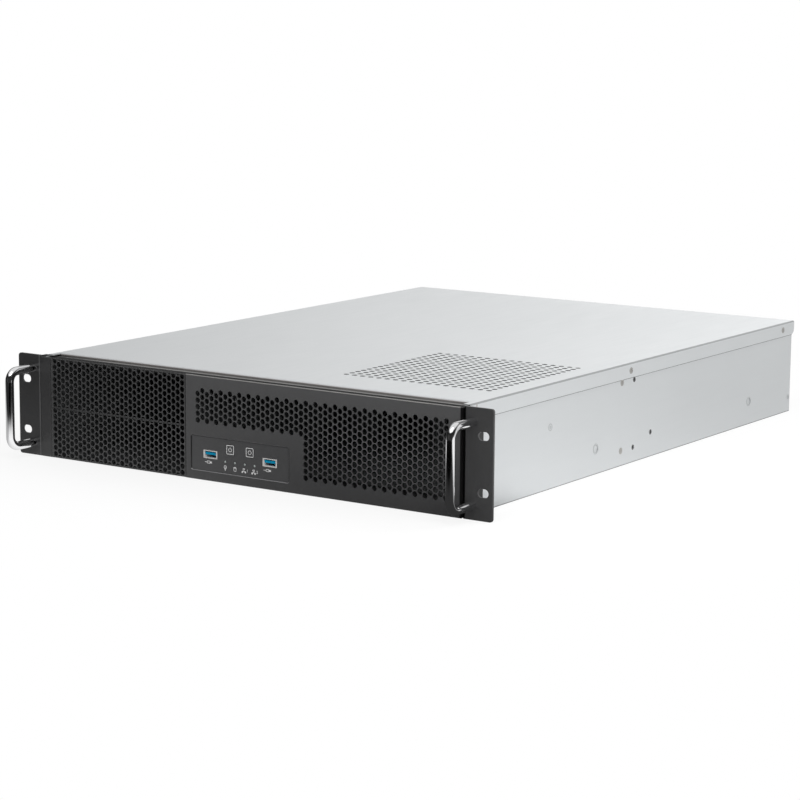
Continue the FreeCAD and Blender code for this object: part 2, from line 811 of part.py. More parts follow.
def handle():
    low, high = handle_heights()
    inner = -handle_reach + handle_bend
    rings = [rod_ring(0, low, 0)]
    for step in range(bend_steps + 1):
        rings.append(bend_ring(inner, low + handle_bend, -90 + 90.0 * step / bend_steps))
    for step in range(bend_steps + 1):
        rings.append(bend_ring(inner, high - handle_bend, 90.0 * step / bend_steps))
    rings.append(rod_ring(0, high, 180))
    solid = Part.Solid(Part.Shell(flat_faces(rings)))
    bores = [hole_y(handle_x, z, handle_bore / 2, -handle_bore_depth, 1) for z in (low, high)]
    return solid.cut(Part.makeCompound(bores))


# Flat faces from each ring of corners to the next, closed by a cap at both ends
def flat_faces(rings):
    faces = [Part.Face(Part.makePolygon(ring + ring[:1])) for ring in (rings[0], rings[-1])]
    for near, far in zip(rings, rings[1:]):
        for i, corner in enumerate(near):
            j = (i + 1) % len(near)
            faces.append(Part.Face(Part.makePolygon([corner, near[j], far[j], far[i], corner])))
    return faces


# Corners of the rod around a point of its centre line; turn is the angle of its heading
def rod_ring(y, z, turn):
    tilt = math.radians(turn)
    corners = []
    for i in range(handle_sides):
        angle = 2 * math.pi * i / handle_sides
        x = handle_x + handle_rod / 2 * math.cos(angle)
        out = handle_rod / 2 * math.sin(angle)
        corners.append(Vector(x, y + out * math.sin(tilt), z + out * math.cos(tilt)))
    return corners


# Section where the rod bends; place is the angle around the bend, from the lower end upwards
def bend_ring(y, z, place):
    angle = math.radians(place)
    return rod_ring(y - handle_bend * math.cos(angle), z + handle_bend * math.sin(angle), place + 90)


def handle_screws():
    screws = [pan_screw((handle_x, ear_sheet, z), (0, -1, 0), ear_sheet + handle_bore_depth - 1,
                        handle_screw_radius, handle_head_radius, 2.4) for z in handle_heights()]
    return [s for screw in screws for s in both_sides(screw)]


# Top cover: sheet with folded sides, a hem at the front and the square vent
def top_cover():
    x = half_width - sheet / 2
    z = rack_height - sheet / 2
    low = rack_height - cover_flange
    sheet_body = fold_along_y([(-x, low), (-x, z), (x, z), (x, low)], sheet, cover_front, case_depth)
    inner = half_width - cover_corner_strip
    front = block(-inner, inner, cover_front - 1, cover_hem_y + sheet + bend_inside, low - 1, rack_height + 1)
    hem_y = cover_hem_y + sheet / 2
    hem_line = [(hem_y, rack_height - cover_hem), (hem_y, z), (cover_hem_y + sheet + bend_inside, z)]
    hem = fold_along_x(hem_line, sheet, -inner + 0.3, inner - 0.3, bend_inside * 0.5)
    cuts = [front]
    for x_side in (-half_width, half_width - sheet):
        cuts.append(corner_cut(x_side - 1, x_side + sheet + 1, case_depth, low, cover_rear_corner, 1))
    for y in cover_screw_y:
        z_screw = rack_height - cover_screw_drop
        dish = taper((half_width, y, z_screw), (-1, 0, 0), screw_head_radius + 0.05, screw_radius + 0.05, sheet * 0.9)
        cuts += both_sides(dish.fuse(hole_x(y, z_screw, screw_radius + 0.05, wall_out, half_width)))
    pitch = vent_side / vent_count
    for i in range(vent_count):
        for j in range(vent_count):
            cuts.append(hex_prism_z(vent_left + (i + 0.5) * pitch, vent_front + (j + 0.5) * pitch,
                                    vent_hole, cover_under - 1, rack_height + 1))
    return fuse([sheet_body.cut(Part.makeCompound(cuts)), hem])


# What a round corner takes off a plate that faces along x
def corner_cut(x0, x1, y, z, radius, facing):
    square = block(x0, x1, y - radius * facing, y + 0.01, z - 0.01, z + radius)
    return square.cut(hole_x(y - radius * facing, z + radius, radius, x0, x1))


def cover_screws():
    z = rack_height - cover_screw_drop
    length = sheet * 2 + cover_gap + 1.5
    screws = [flush_screw((half_width, y, z), (-1, 0, 0), length, sheet * 0.9) for y in cover_screw_y]
    return [s for screw in screws for s in both_sides(screw)]


# Fan wall: plate across the case with a round opening for each fan
def fan_centres():
    return [(i - 1) * fan_pitch for i in range(3)]


def fan_z():
    return floor_top + sheet + fan_size / 2 + 0.5


def fan_wall():
    y = fan_wall_y + sheet / 2
    top = shelf_top - sheet - 0.4
    x = frame_half - sheet / 2
    line = [(-x, y - fan_wall_flange), (-x, y), (x, y), (x, y - fan_wall_flange)]
    wall = sharp_along_z(line, sheet, floor_top, top)
    foot = block(-x + 4, x - 4, fan_wall_y, fan_wall_y + 14, floor_top, floor_top + sheet)
    cuts = []
    for centre in fan_centres():
        cuts.append(hole_y(centre, fan_z(), fan_bore / 2, fan_wall_y - 1, fan_wall_y + sheet + 1, fan_sides))
        for dx, dz in held_corners():
            cuts.append(hole_y(centre + dx, fan_z() + dz, screw_radius + screw_gap, fan_wall_y - 1,
                               fan_wall_y + sheet + 1))
    for z in fan_fix_z:
        for fix_y in (fan_screw_y, fan_open_y):
            cuts += both_sides(hole_x(fix_y, z, screw_radius + screw_gap, frame_half - 2 * sheet, half_width))
    cuts += cover_screw_notches(cover_screw_y[0])
    return fuse([wall, foot]).cut(Part.makeCompound(cuts))


def fan_corners():
    half = fan_hole_span / 2
    return [(sx * half, sz * half) for sx in (-1, 1) for sz in (-1, 1)]


# Each fan hangs on two screws, in opposite corners
def held_corners():
    return fan_corners()[1:3]


def fan_wall_screws():
    screws = [flush_screw((wall_out, fan_screw_y, z), (-1, 0, 0), 2 * sheet + 1.5, sheet * 0.8) for z in fan_fix_z]
    return [s for screw in screws for s in both_sides(screw)]


def fan_screws():
    return [pan_screw((centre + dx, fan_wall_y + sheet, fan_z() + dz), (0, -1, 0), fan_depth * 0.36)
            for centre in fan_centres() for dx, dz in held_corners()]


# Fan frame: square duct with corner holes, and the motor plate on its struts
def fan_frame(centre):
    y1 = fan_wall_y - 0.05
    y0 = y1 - fan_depth
    half = fan_size / 2
    z = fan_z()
    body = chamfered_block(centre - half, centre + half, y0, y1, z - half, z + half, 3)
    body = body.cut(hole_y(centre, z, fan_bore / 2, y0 - 1, y1 + 1, fan_sides))
    plate = hole_y(centre, z, fan_hub_radius - 1, y1 - fan_plate, y1, 14)
    struts = []
    for angle in (45, 135, 225, 315):
        strut = block(centre, centre + fan_bore / 2 + 0.5, y1 - fan_plate, y1, z - 1.5, z + 1.5)
        strut.rotate(Vector(centre, y1, z), Vector(0, 1, 0), angle)
        struts.append(strut)
    body = fuse([body, plate] + struts)
    cuts = [hole_y(centre + dx, z + dz, screw_radius + 0.05, y0 - 1, y1 + 1) for dx, dz in held_corners()]
    cuts.append(rod_y(centre, z, fan_shaft_radius + fan_shaft_gap, y0 - 1, y1 + 1))
    return body.cut(Part.makeCompound(cuts))


# Rotor: cup with flat slanted blades and the shaft in the motor plate
def fan_rotor(centre):
    y1 = fan_wall_y - 0.05 - fan_plate - 0.5
    y0 = y1 - fan_depth + fan_plate + 2.0
    z = fan_z()
    hub = hole_y(centre, z, fan_hub_radius, y0, y1, 2 * fan_blades)
    shaft = rod_y(centre, z, fan_shaft_radius, y1, y1 + fan_plate + 0.2)
    middle = (y0 + y1) / 2
    half = blade_chord / 2
    parts = [hub, shaft]
    for i in range(fan_blades):
        blade = block(-half, half, -blade_thick / 2, blade_thick / 2, fan_hub_radius - 1.5, fan_bore / 2 - fan_tip_gap)
        blade.rotate(Vector(0, 0, 0), Vector(0, 0, 1), blade_pitch)
        blade.translate(Vector(centre, middle, z))
        blade.rotate(Vector(centre, middle, z), Vector(0, 1, 0), 360.0 * (i + 0.5) / fan_blades)
        parts.append(blade)
    return fuse(parts)


# Bracket that carries the power supply under the vent
def psu_bracket():
    half = supply_width / 2 + 4
    top = shelf_top - sheet - 0.4
    y = supply_y + sheet / 2
    plate = sharp_along_x([(supply_y + supply_flange, floor_top + sheet / 2), (y, floor_top + sheet / 2), (y, top)],
                          sheet, supply_x - half, supply_x + half)
    window = block(supply_x - supply_width / 2 + 8, supply_x + supply_width / 2 - 8, supply_y - 1,
                   supply_y + sheet + 1, floor_top + 10, top - 8)
    holes = [hole_z(x, y, screw_radius + screw_gap, 0, floor_top + 3) for x, y in floor_screw_places()[4:]]
    corners = [hole_y(supply_x + sx * (supply_width / 2 - 4), z, screw_radius + 0.3, supply_y - 1, supply_y + 2)
               for sx in (-1, 1) for z in (floor_top + 16, top - 12)]
    return plate.cut(Part.makeCompound([window] + holes + corners))


# Rear panel: wall with the connector opening, the sunk slot zone and its shelf
def slot_centres():
    return [slot_first - i * slot_pitch for i in range(slot_count)]


def slot_zone():
    right = slot_first + slot_pitch / 2 + 2
    left = slot_first - (slot_count - 0.5) * slot_pitch - 2
    return left, right


def rear_panel():
    top = shelf_top
    left, right = slot_zone()
    bottom = floor_top
    wall = sharp_along_x([(rear_y0 - 10, top - sheet / 2), (rear_y0 + sheet / 2, top - sheet / 2),
                          (rear_y0 + sheet / 2, bottom)], sheet, -frame_half, frame_half)
    side = block(frame_half - sheet, frame_half, rear_y0 - 12, rear_y1, bottom, top - 2 * sheet)
    sunk_y = rear_y0 - slot_recess
    wall = wall.cut(block(left, right, rear_y0 - 1, rear_y1 + 1, bottom - 1, slot_shelf + 8))
    back = sharp_along_x([(sunk_y + sheet / 2, bottom), (sunk_y + sheet / 2, slot_shelf - sheet / 2),
                          (rear_y1, slot_shelf - sheet / 2)], sheet, left, right)
    steps = [block(left - sheet, left, sunk_y, rear_y1, bottom, slot_shelf),
             block(right, right + sheet, sunk_y, rear_y1, bottom, slot_shelf)]
    body = fuse([wall, back] + steps + both_sides(side))
    cuts = [block(io_right - io_width, io_right, rear_y0 - 1, rear_y1 + 1, io_bottom, io_bottom + io_height)]
    for x in slot_centres():
        cuts.append(block(x - slot_opening / 2, x + slot_opening / 2, sunk_y - 1, sunk_y + sheet + 1, slot_bottom + 6,
                          slot_shelf - 6))
        cuts.append(hole_z(x, rear_y0 - slot_recess / 2, screw_radius + screw_gap, slot_shelf - 3, slot_shelf + 3))
    cuts.append(block(inlet_x - inlet_width / 2, inlet_x + inlet_width / 2, rear_y0 - 1, rear_y1 + 1,
                      inlet_z - inlet_height / 2, inlet_z + inlet_height / 2))
    cuts += honeycomb(rear_mesh_left, io_right, top - 7, lambda x: rear_mesh_bottom, mesh_pitch, mesh_hole,
                      rear_y0 - 1, rear_y1 + 1)
    return body.cut(Part.makeCompound(cuts))


# Slot cover: narrow blade inside the wall with a tab that lies on the shelf
def slot_cover(x):
    y = rear_y0 - slot_recess - 0.1 - sheet / 2
    z = slot_shelf + 0.05 + sheet / 2
    half = slot_cover_width / 2
    blade = sharp_along_x([(y, slot_bottom), (y, z), (rear_y0 - 1, z)], sheet, x - half, x + half)
    return blade.cut(hole_z(x, rear_y0 - slot_recess / 2, screw_radius + screw_gap, z - 3, z + 3))


def slot_screws():
    z = slot_shelf + 0.05 + sheet
    return [pan_screw((x, rear_y0 - slot_recess / 2, z), (0, 0, -1), 2 * sheet + 1.5) for x in slot_centres()]


# Power inlet: flanged socket with a sunk well and three pins
def power_inlet():
    w = inlet_width / 2 - 0.15
    h = inlet_height / 2 - 0.15
    y_back = rear_y1 - inlet_depth
    body = block(inlet_x - w, inlet_x + w, y_back, rear_y1 + 0.05, inlet_z - h, inlet_z + h)
    flange = block(inlet_x - w - 1.6, inlet_x + w + 1.6, rear_y1 + 0.05, rear_y1 + 0.05 + inlet_flange / 3,
                   inlet_z - h - 1.4, inlet_z + h + 1.4)
    well = block(inlet_x - w + 2, inlet_x + w - 2, y_back + 3, rear_y1 + 5, inlet_z - h + 2, inlet_z + h - 2)
    edges = [e for e in well.Edges if along(e, Vector(0, 1, 0)) and e.CenterOfMass.z > inlet_z]
    well = well.makeChamfer(4.0, edges)
    pins = [block(inlet_x + dx - 1, inlet_x + dx + 1, y_back + 2, rear_y1 - 2, inlet_z + dz - 2, inlet_z + dz + 2)
            for dx, dz in ((-7, -2), (0, 2), (7, -2))]
    return fuse([fuse([body, flange]).cut(well)] + pins)


# Threaded standoffs for the main board
def standoff_places():
    rear = rear_y0 - board_rear_gap
    return [(board_corner_x - column, rear - row) for column in board_columns for row in board_rows]


def board_standoffs():
    pillars = []
    for x, y in standoff_places():
        pillar = hex_prism_z(x, y, standoff_radius * math.sqrt(3), floor_top, floor_top + standoff_height)
        pillars.append(pillar.cut(hole_z(x, y, standoff_bore, floor_top - 1, floor_top + standoff_height + 1)))
    return pillars


# Writes one piece, or one group of like pieces, with the case centred over the origin
def save(name, shapes):
    group = shapes if isinstance(shapes, list) else [shapes]
    solids = [s for shape in group for s in shape.Solids]
    result = solids[0] if len(solids) == 1 else Part.makeCompound(solids)
    result.translate(Vector(0, -centre_y, 0))
    if not result.isValid():
        raise ValueError(name + " is not valid")
    result.exportStep("parts/" + name + ".step")


def mirrored(shape):
    return shape.mirror(Vector(0, 0, 0), Vector(1, 0, 0))


def pieces():
    made = {
        "base_pan": base_pan(), "rear_panel": rear_panel(), "front_frame": front_frame(),
        "front_panel": front_panel(), "left_stile": left_stile(), "control_panel": control_panel(),
        "control_board": control_board(), "power_button": button(-button_x), "reset_button": button(button_x),
        "power_switch": switch(-button_x), "reset_switch": switch(button_x),
        "data_port_shell_left": port_shell(-port_x), "data_port_shell_right": port_shell(port_x),
        "data_port_tongue_left": port_tongue(-port_x), "data_port_tongue_right": port_tongue(port_x),
        "bay_cover_lower": bay_cover(0), "bay_cover_upper": bay_cover(1), "bay_cage": bay_cage(),
        "psu_bracket": psu_bracket(), "fan_wall": fan_wall(), "top_cover": top_cover(),
        "ear_right": ear(), "ear_left": mirrored(ear()),
        "handle_right": handle(), "handle_left": mirrored(handle()),
        "power_inlet": power_inlet(), "board_standoffs": board_standoffs(),
        "cover_screws": cover_screws(), "ear_screws": ear_screws(), "handle_screws": handle_screws(),
        "panel_screws": panel_screws(), "floor_screws": floor_screws(), "slot_screws": slot_screws(),
        "fan_screws": fan_screws(), "fan_wall_screws": fan_wall_screws(),
        "control_board_screws": control_board_screws(),
    }
    for number, centre in enumerate(fan_centres(), 1):
        made["fan_frame_%d" % number] = fan_frame(centre)
        made["fan_rotor_%d" % number] = fan_rotor(centre)
    for number, x in enumerate(slot_centres(), 1):
        made["slot_cover_%d" % number] = slot_cover(x)
    for number, x in enumerate(light_x, 1):
        made["status_light_%d" % number] = status_light(x)
    return made


def main():
    os.makedirs("parts", exist_ok=True)
    for name, shape in pieces().items():
        save(name, shape)


main()
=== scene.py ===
import math

import bmesh
import bpy
from mathutils import Matrix, Vector


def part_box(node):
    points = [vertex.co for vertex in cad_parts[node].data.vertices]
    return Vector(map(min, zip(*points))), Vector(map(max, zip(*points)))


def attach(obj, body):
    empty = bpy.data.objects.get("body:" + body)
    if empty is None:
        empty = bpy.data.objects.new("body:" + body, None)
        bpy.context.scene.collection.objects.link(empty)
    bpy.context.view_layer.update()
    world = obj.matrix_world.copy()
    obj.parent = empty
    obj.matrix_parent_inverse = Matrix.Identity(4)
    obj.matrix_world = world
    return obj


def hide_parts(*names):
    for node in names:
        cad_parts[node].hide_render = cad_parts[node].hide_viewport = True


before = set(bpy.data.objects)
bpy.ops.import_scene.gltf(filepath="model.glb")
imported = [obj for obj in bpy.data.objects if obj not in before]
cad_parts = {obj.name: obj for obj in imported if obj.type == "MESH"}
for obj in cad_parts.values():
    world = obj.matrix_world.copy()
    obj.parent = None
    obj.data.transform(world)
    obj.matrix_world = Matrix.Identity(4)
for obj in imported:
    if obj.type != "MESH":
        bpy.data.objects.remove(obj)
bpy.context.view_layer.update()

bl_info = {
    "name": "Rackmount case dressing",
    "version": (1, 0, 0),
    "blender": (4, 5, 0),
    "location": "View3D > Sidebar > Case",
    "description": "Gives a packed sheet-metal case its perforation, screws, markings and finishes",
    "category": "Object",
}

MM = 0.001
EAR_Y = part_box("ear_right")[0].y
PANEL_LOW, PANEL_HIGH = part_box("front_panel")
COVER_LOW, COVER_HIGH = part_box("top_cover")
BASE_LOW, BASE_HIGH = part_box("base_pan")
CONTROL_LOW, CONTROL_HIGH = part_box("control_panel")

# The front edge of the cover's top
HEM_Y = EAR_Y + 17.5 * MM

# Perforation: places are measured from the middle of the case and from the floor
MESH_LEFT = -43.05 * MM
MESH_TOP = 72.0 * MM
MESH_COLUMNS = 52
MESH_ROWS = 11
BAND_COLUMNS = 23
BAND_ROWS = 5
HOLE_CORNER = 0.13
BAY_LEFT = -198.7 * MM
BAY_STEP = 4.64 * MM
BAY_TOPS = {"lower": 41.7 * MM, "upper": 84.7 * MM}
BAY_COLUMNS = 31
BAY_ROWS = 8
VENT_CORNER = (55.0 * MM, EAR_Y + 71.25 * MM)
VENT_SPAN = (138.0 * MM, 141.85 * MM)

# Marks in the sides: how far behind the ears, how high, then radii and width of a ring's lines
DIMPLES = ((209.0 * MM, 22.0 * MM), (500.0 * MM, 22.0 * MM))
# Rims round the sunk screws, darkened as painted shade
SUNK_RIM_SHADES = ((274.4 * MM, 13.4 * MM), (274.4 * MM, 72.4 * MM), (306.0 * MM, 22.0 * MM))
# Rings whose raised lines are darkened as painted shade
RINGS = [(133.0 * MM, 51.7 * MM, (3.0 * MM, 1.1 * MM), 0.4 * MM),
         (587.0 * MM, 14.3 * MM, (2.2 * MM, 0.9 * MM), 0.35 * MM)]
RINGS += [(y, z, (4.4 * MM, 3.45 * MM), 0.3 * MM) for y, z in DIMPLES]

# Height of printed lines, the hole left round a spun profile's axis, and what counts as one place
PRINT = 0.04 * MM
POLE = 0.0001 * MM
SAME_PLACE = 0.001 * MM

# Fixed colours
WHITE = (1, 1, 1, 1)
# Painted shade grey for the front face of the cover's hem
HEM_SHADE_GREY = (0.42, 0.4, 0.39, 1)
# Painted highlight along the front panel's top edge
RIM_HIGHLIGHT = (0.19, 0.185, 0.18, 1)
STRIP_GREY = (0.155, 0.152, 0.148, 1)
LENS_DARK = (0.22, 0.25, 0.24, 1)
LENS_LIGHT = (0.34, 0.37, 0.36, 1)
FLOOR_DARK = (0.9, 0.9, 0.9, 1)
FLOOR_LIGHT = (0.92, 0.92, 0.92, 1)

# Surroundings, in metres: where the painted shade at the strip's left end fades, the floor and its dark
# mirrored spot
STRIP_SHADE_FADE = (-0.205, -0.15)
FLOOR_HALF = 30.0
MIRROR_GAP = (0.25, -0.64, 0.0)
LAMP_AIM = Vector((0, 0, 0.05))
AMBIENT = 0.55


# Properties

class CaseSizes(bpy.types.PropertyGroup):
    """Sizes of the small features that the frame leaves to the looks"""
    mesh_pitch: bpy.props.FloatProperty(
        name="Mesh pitch", description="Distance between holes of the front mesh, one above the other",
        default=5.5 * MM, min=2 * MM, unit="LENGTH")
    mesh_hole: bpy.props.FloatProperty(
        name="Mesh hole", description="Width of a hole of the front mesh between its flats",
        default=4.7 * MM, min=1 * MM, unit="LENGTH")
    bay_pitch: bpy.props.FloatProperty(
        name="Bay mesh pitch", description="Distance between holes of the bay covers, one above the other",
        default=5.4 * MM, min=2 * MM, unit="LENGTH")
    bay_hole: bpy.props.FloatProperty(
        name="Bay mesh hole", description="Width of a hole of the bay covers between its flats",
        default=4.65 * MM, min=1 * MM, unit="LENGTH")
    vent_hole: bpy.props.FloatProperty(
        name="Vent hole", description="Width of a hole of the vent in the top cover",
        default=4.9 * MM, min=1 * MM, unit="LENGTH")
    vent_count: bpy.props.IntProperty(
        name="Vent rows", description="Holes along each side of the vent", default=18, min=2)
    sheet: bpy.props.FloatProperty(
        name="Sheet", description="Thickness of the steel sheet", default=1.0 * MM, min=0.3 * MM, unit="LENGTH")
    bend: bpy.props.FloatProperty(
        name="Bend radius", description="Outer radius of the top cover's folds", default=1.6 * MM,
        min=0.2 * MM, unit="LENGTH")
    ink: bpy.props.FloatProperty(
        name="Marking line", description="Width of the printed lines on the control panel", default=0.42 * MM,
        min=0.1 * MM, unit="LENGTH")


class CaseColours(bpy.types.PropertyGroup):
    """Base colours of the finishes"""
    zinc: bpy.props.FloatVectorProperty(
        name="Zinc sheet", description="Plated steel of the cover, base and inner sheets", subtype="COLOR",
        default=(0.66, 0.68, 0.69), min=0, max=1)
    coat: bpy.props.FloatVectorProperty(
        name="Black coat", description="Powder coat of the front panel, ears and mesh", subtype="COLOR",
        default=(0.046, 0.046, 0.047), min=0, max=1)
    plastic: bpy.props.FloatVectorProperty(
        name="Black plastic", description="Control panel, fans and mains inlet", subtype="COLOR",
        default=(0.03, 0.03, 0.031), min=0, max=1)
    chrome: bpy.props.FloatVectorProperty(
        name="Chrome", description="Plating of the two handles", subtype="COLOR",
        default=(0.86, 0.86, 0.87), min=0, max=1)
    port: bpy.props.FloatVectorProperty(
        name="Port tongue", description="Blue plastic inside the data ports", subtype="COLOR",
        default=(0.0, 0.19, 0.33), min=0, max=1)
    marking: bpy.props.FloatVectorProperty(
        name="Marking", description="Printed lines and signs on the control panel", subtype="COLOR",
        default=(0.56, 0.56, 0.56), min=0, max=1)


def sizes():
    return bpy.context.scene.case_sizes


def colours():
    return bpy.context.scene.case_colours


# Shader maths

class Signal:
    """A socket in a node tree that can stand in an arithmetic expression"""

    def __init__(self, tree, socket):
        self.tree = tree
        self.socket = socket

    def math(self, operation, first, second):
        node = self.tree.nodes.new("ShaderNodeMath")
        node.operation = operation
        for place, value in zip(node.inputs, (first, second)):
            if isinstance(value, Signal):
                self.tree.links.new(value.socket, place)
            else:
                place.default_value = value
        return Signal(self.tree, node.outputs[0])

    def __add__(self, other):
        return self.math("ADD", self, other)

    __radd__ = __add__

    def __sub__(self, other):
        return self.math("SUBTRACT", self, other)

    def __rsub__(self, other):
        return self.math("SUBTRACT", other, self)

    def __mul__(self, other):
        return self.math("MULTIPLY", self, other)

    __rmul__ = __mul__

    def above(self, limit):
        return self.math("GREATER_THAN", self, limit)

    def below(self, limit):
        return self.math("LESS_THAN", self, limit)

    def between(self, low, high):
        return self.above(low) * self.below(high)

    def size(self):
        return self.math("ABSOLUTE", self, 0.0)

    def ramp(self, start, end, first=0.0, last=1.0, kind="SMOOTHSTEP"):
        """Goes from first to last while this value goes from start to end"""
        node = self.tree.nodes.new("ShaderNodeMapRange")
        node.interpolation_type = kind
        self.tree.links.new(self.socket, node.inputs["Value"])
        for place, number in zip(node.inputs[1:5], (start, end, first, last)):
            place.default_value = number
        return Signal(self.tree, node.outputs[0])


class Finish:
    """A material being built around one Principled shader"""

    def __init__(self, name):
        self.material = bpy.data.materials.new(name + "_finish")
        self.material.use_nodes = True
        self.tree = self.material.node_tree
        self.shader = self.tree.nodes["Principled BSDF"]

    def node(self, kind, settings, inputs, output=0):
        node = self.tree.nodes.new(kind)
        for name, value in settings.items():
            setattr(node, name, value)
        for name, value in inputs.items():
            self.feed(node.inputs[name], value)
        return Signal(self.tree, node.outputs[output])

    def feed(self, place, value):
        if isinstance(value, Signal):
            self.tree.links.new(value.socket, place)
        else:
            place.default_value = value

    def set(self, **values):
        for name, value in values.items():
            self.feed(self.shader.inputs[name.replace("_", " ")], value)

    def coords(self):
        return self.node("ShaderNodeTexCoord", {}, {}, "Object")

    def axis(self, letter):
        return self.node("ShaderNodeSeparateXYZ", {}, {0: self.coords()}, letter)

    def noise(self, scale, detail=2.0, stretch=(1, 1, 1)):
        place = self.node("ShaderNodeMapping", {}, {"Vector": self.coords(), "Scale": stretch})
        inputs = {"Vector": place, "Scale": scale, "Detail": detail, "Roughness": 0.5}
        return self.node("ShaderNodeTexNoise", {}, inputs, "Fac")

    def blend(self, amount, first, second):
        """A colour between two others"""
        inputs = {"Factor": amount, 6: first, 7: second}
        return self.node("ShaderNodeMix", {"data_type": "RGBA"}, inputs, 2)

    def glow(self, strength):
        return self.node("ShaderNodeEmission", {}, {"Color": WHITE, "Strength": strength})

    def bump(self, height, strength, distance):
        inputs = {"Height": height, "Strength": strength, "Distance": distance}
        return self.node("ShaderNodeBump", {}, inputs, "Normal")

    def upward(self, normal):
        """How far a surface faces up, from -1 to 1"""
        way = self.node("ShaderNodeNewGeometry", {}, {}, normal)
        return self.node("ShaderNodeSeparateXYZ", {}, {0: way}, "Z")

    def within(self, heights):
        """1 between two heights on the inner side of the case walls, which get painted shade, otherwise 0"""
        inside = self.axis("X").size().below(BASE_HIGH.x - 0.6 * MM)
        inside = inside * self.axis("Y").above(HEM_Y + 2.0 * MM)
        return inside * self.axis("Z").between(*heights)

    def in_hole(self):
        """1 on the walls of the vent's holes, which get painted shade, otherwise 0"""
        steep = self.upward("True Normal").size().below(0.5)
        inside = self.axis("X").size().below(BASE_HIGH.x - 5.0 * MM)
        inside = inside * self.axis("Z").above(COVER_HIGH.z - 1.2 * MM)
        return steep * inside * self.axis("Y").between(HEM_Y + 20.0 * MM, HEM_Y + 250.0 * MM)

    def at_fold(self):
        """How much painted shade darkens the long upper folds of the cover and the lower folds of the base"""
        height = self.axis("Z")
        upper = height.above(COVER_HIGH.z - 1.3 * MM)
        upper = upper * self.axis("X").size().above(COVER_HIGH.x - 1.3 * MM)
        return upper * 0.5 + height.below(0.9 * MM) * 0.85

    def at_front_edge(self):
        """1 on the front face of the cover under its rounded top edge, which gets a painted shade grey,
        otherwise 0
        """
        front = self.axis("Y").between(HEM_Y - 0.3 * MM, HEM_Y + 1.2 * MM)
        return front * self.axis("Z").between(COVER_HIGH.z - 4.0 * MM, COVER_HIGH.z - 0.5 * MM)


def shade(colour, factor):
    return tuple(min(1.0, c * factor) for c in colour) + (1.0,)


def zinc_finish(name, factor=1.0, rough=0.36, inner=None):
    """Plated sheet; inner gives the heights between which the sheet's far side lies in the case and gets
    painted shade; with inner the folds, hole walls and front edge get painted shade too
    """
    finish = Finish(name)
    base = colours().zinc
    cloud = finish.noise(7.0, 3.0)
    grain = finish.noise(260.0, 3.0, (1.0, 0.06, 1.0))
    speck = finish.noise(1900.0, 1.0)
    mottle = cloud * 0.6 + speck * 0.4
    colour = finish.blend(mottle, shade(base, 0.93 * factor), shade(base, 1.07 * factor))
    if inner:
        depth = finish.axis("Y")
        # Painted shade on the sheet's inner side, darkest in the front part behind the mesh
        dark = finish.blend(depth.below(EAR_Y + 60.0 * MM), shade(base, 0.45), shade(base, 0.1))
        colour = finish.blend(finish.within(inner), colour, dark)
        # Painted shade along the cover's upper folds and the base's lower folds
        colour = finish.blend(finish.at_fold(), colour, shade(base, 0.22))
        # Painted shade grey on the hem's front face
        colour = finish.blend(finish.at_front_edge(), colour, HEM_SHADE_GREY)
        # Painted shade on the sides' front edge, seen through the gap beside the ears
        colour = finish.blend(depth.below(EAR_Y + 3.0 * MM), colour, shade(base, 0.04))
        # Painted shade on the walls of the vent's holes
        colour = finish.blend(finish.in_hole(), colour, shade(base, 0.3))
    finish.set(Base_Color=colour, Metallic=0.72,
               Roughness=rough + (grain - 0.5) * 0.12 + (cloud - 0.5) * 0.08,
               Normal=finish.bump(grain * 0.7 + speck * 0.3, 0.12, 0.04 * MM))


def coat_finish(name, base, rough=0.42, bends=False, rims=False):
    """Powder coat; bends paints shade and a highlight on the folds of the ears, rims paints light and shade on
    the face and edges of the front panel
    """
    finish = Finish(name)
    peel = finish.noise(1500.0)
    cloud = finish.noise(25.0)
    dark = shade(base, 0.08)
    colour = finish.blend(cloud, shade(base, 0.9), shade(base, 1.1))
    if rims:
        height = finish.axis("Z")
        # Painted light: the panel's coat grows lighter towards its top
        painted_rise = height.ramp(0.0, PANEL_HIGH.z, kind="LINEAR")
        colour = finish.blend(cloud * 0.15 + painted_rise * 0.85, shade(base, 0.74), shade(base, 1.36))
        # Painted highlight along the panel's top edge, painted shade along its right edge beside the ear
        colour = finish.blend(height.above(PANEL_HIGH.z - 0.5 * MM), colour, RIM_HIGHLIGHT)
        colour = finish.blend(finish.axis("X").above(PANEL_HIGH.x - 1.8 * MM), colour, dark)
    if bends:
        # Painted shade on the right ear's bend and the gap beside it, painted highlight on the left ear's bend
        across = finish.axis("X")
        right = across.between(BASE_HIGH.x - 1.5 * MM, BASE_HIGH.x + 2.6 * MM)
        left = across.between(BASE_LOW.x - 4.4 * MM, BASE_LOW.x - 3.3 * MM)
        colour = finish.blend(right, colour, dark)
        colour = finish.blend(left, colour, shade(base, 3.5))
    finish.set(Base_Color=colour, Roughness=rough + (peel - 0.5) * 0.12 + (cloud - 0.5) * 0.06,
               Normal=finish.bump(peel, 0.22, 0.05 * MM))


def rim_finish(base):
    """Coat of the sloped rim round the controls, with a painted highlight where it faces up and painted shade
    elsewhere
    """
    finish = Finish("rim_coat")
    peel = finish.noise(1500.0)
    lit = finish.upward("Normal").above(0.3)
    finish.set(Base_Color=finish.blend(lit, shade(base, 0.3), shade(base, 3.2)),
               Roughness=0.34 + (peel - 0.5) * 0.1)


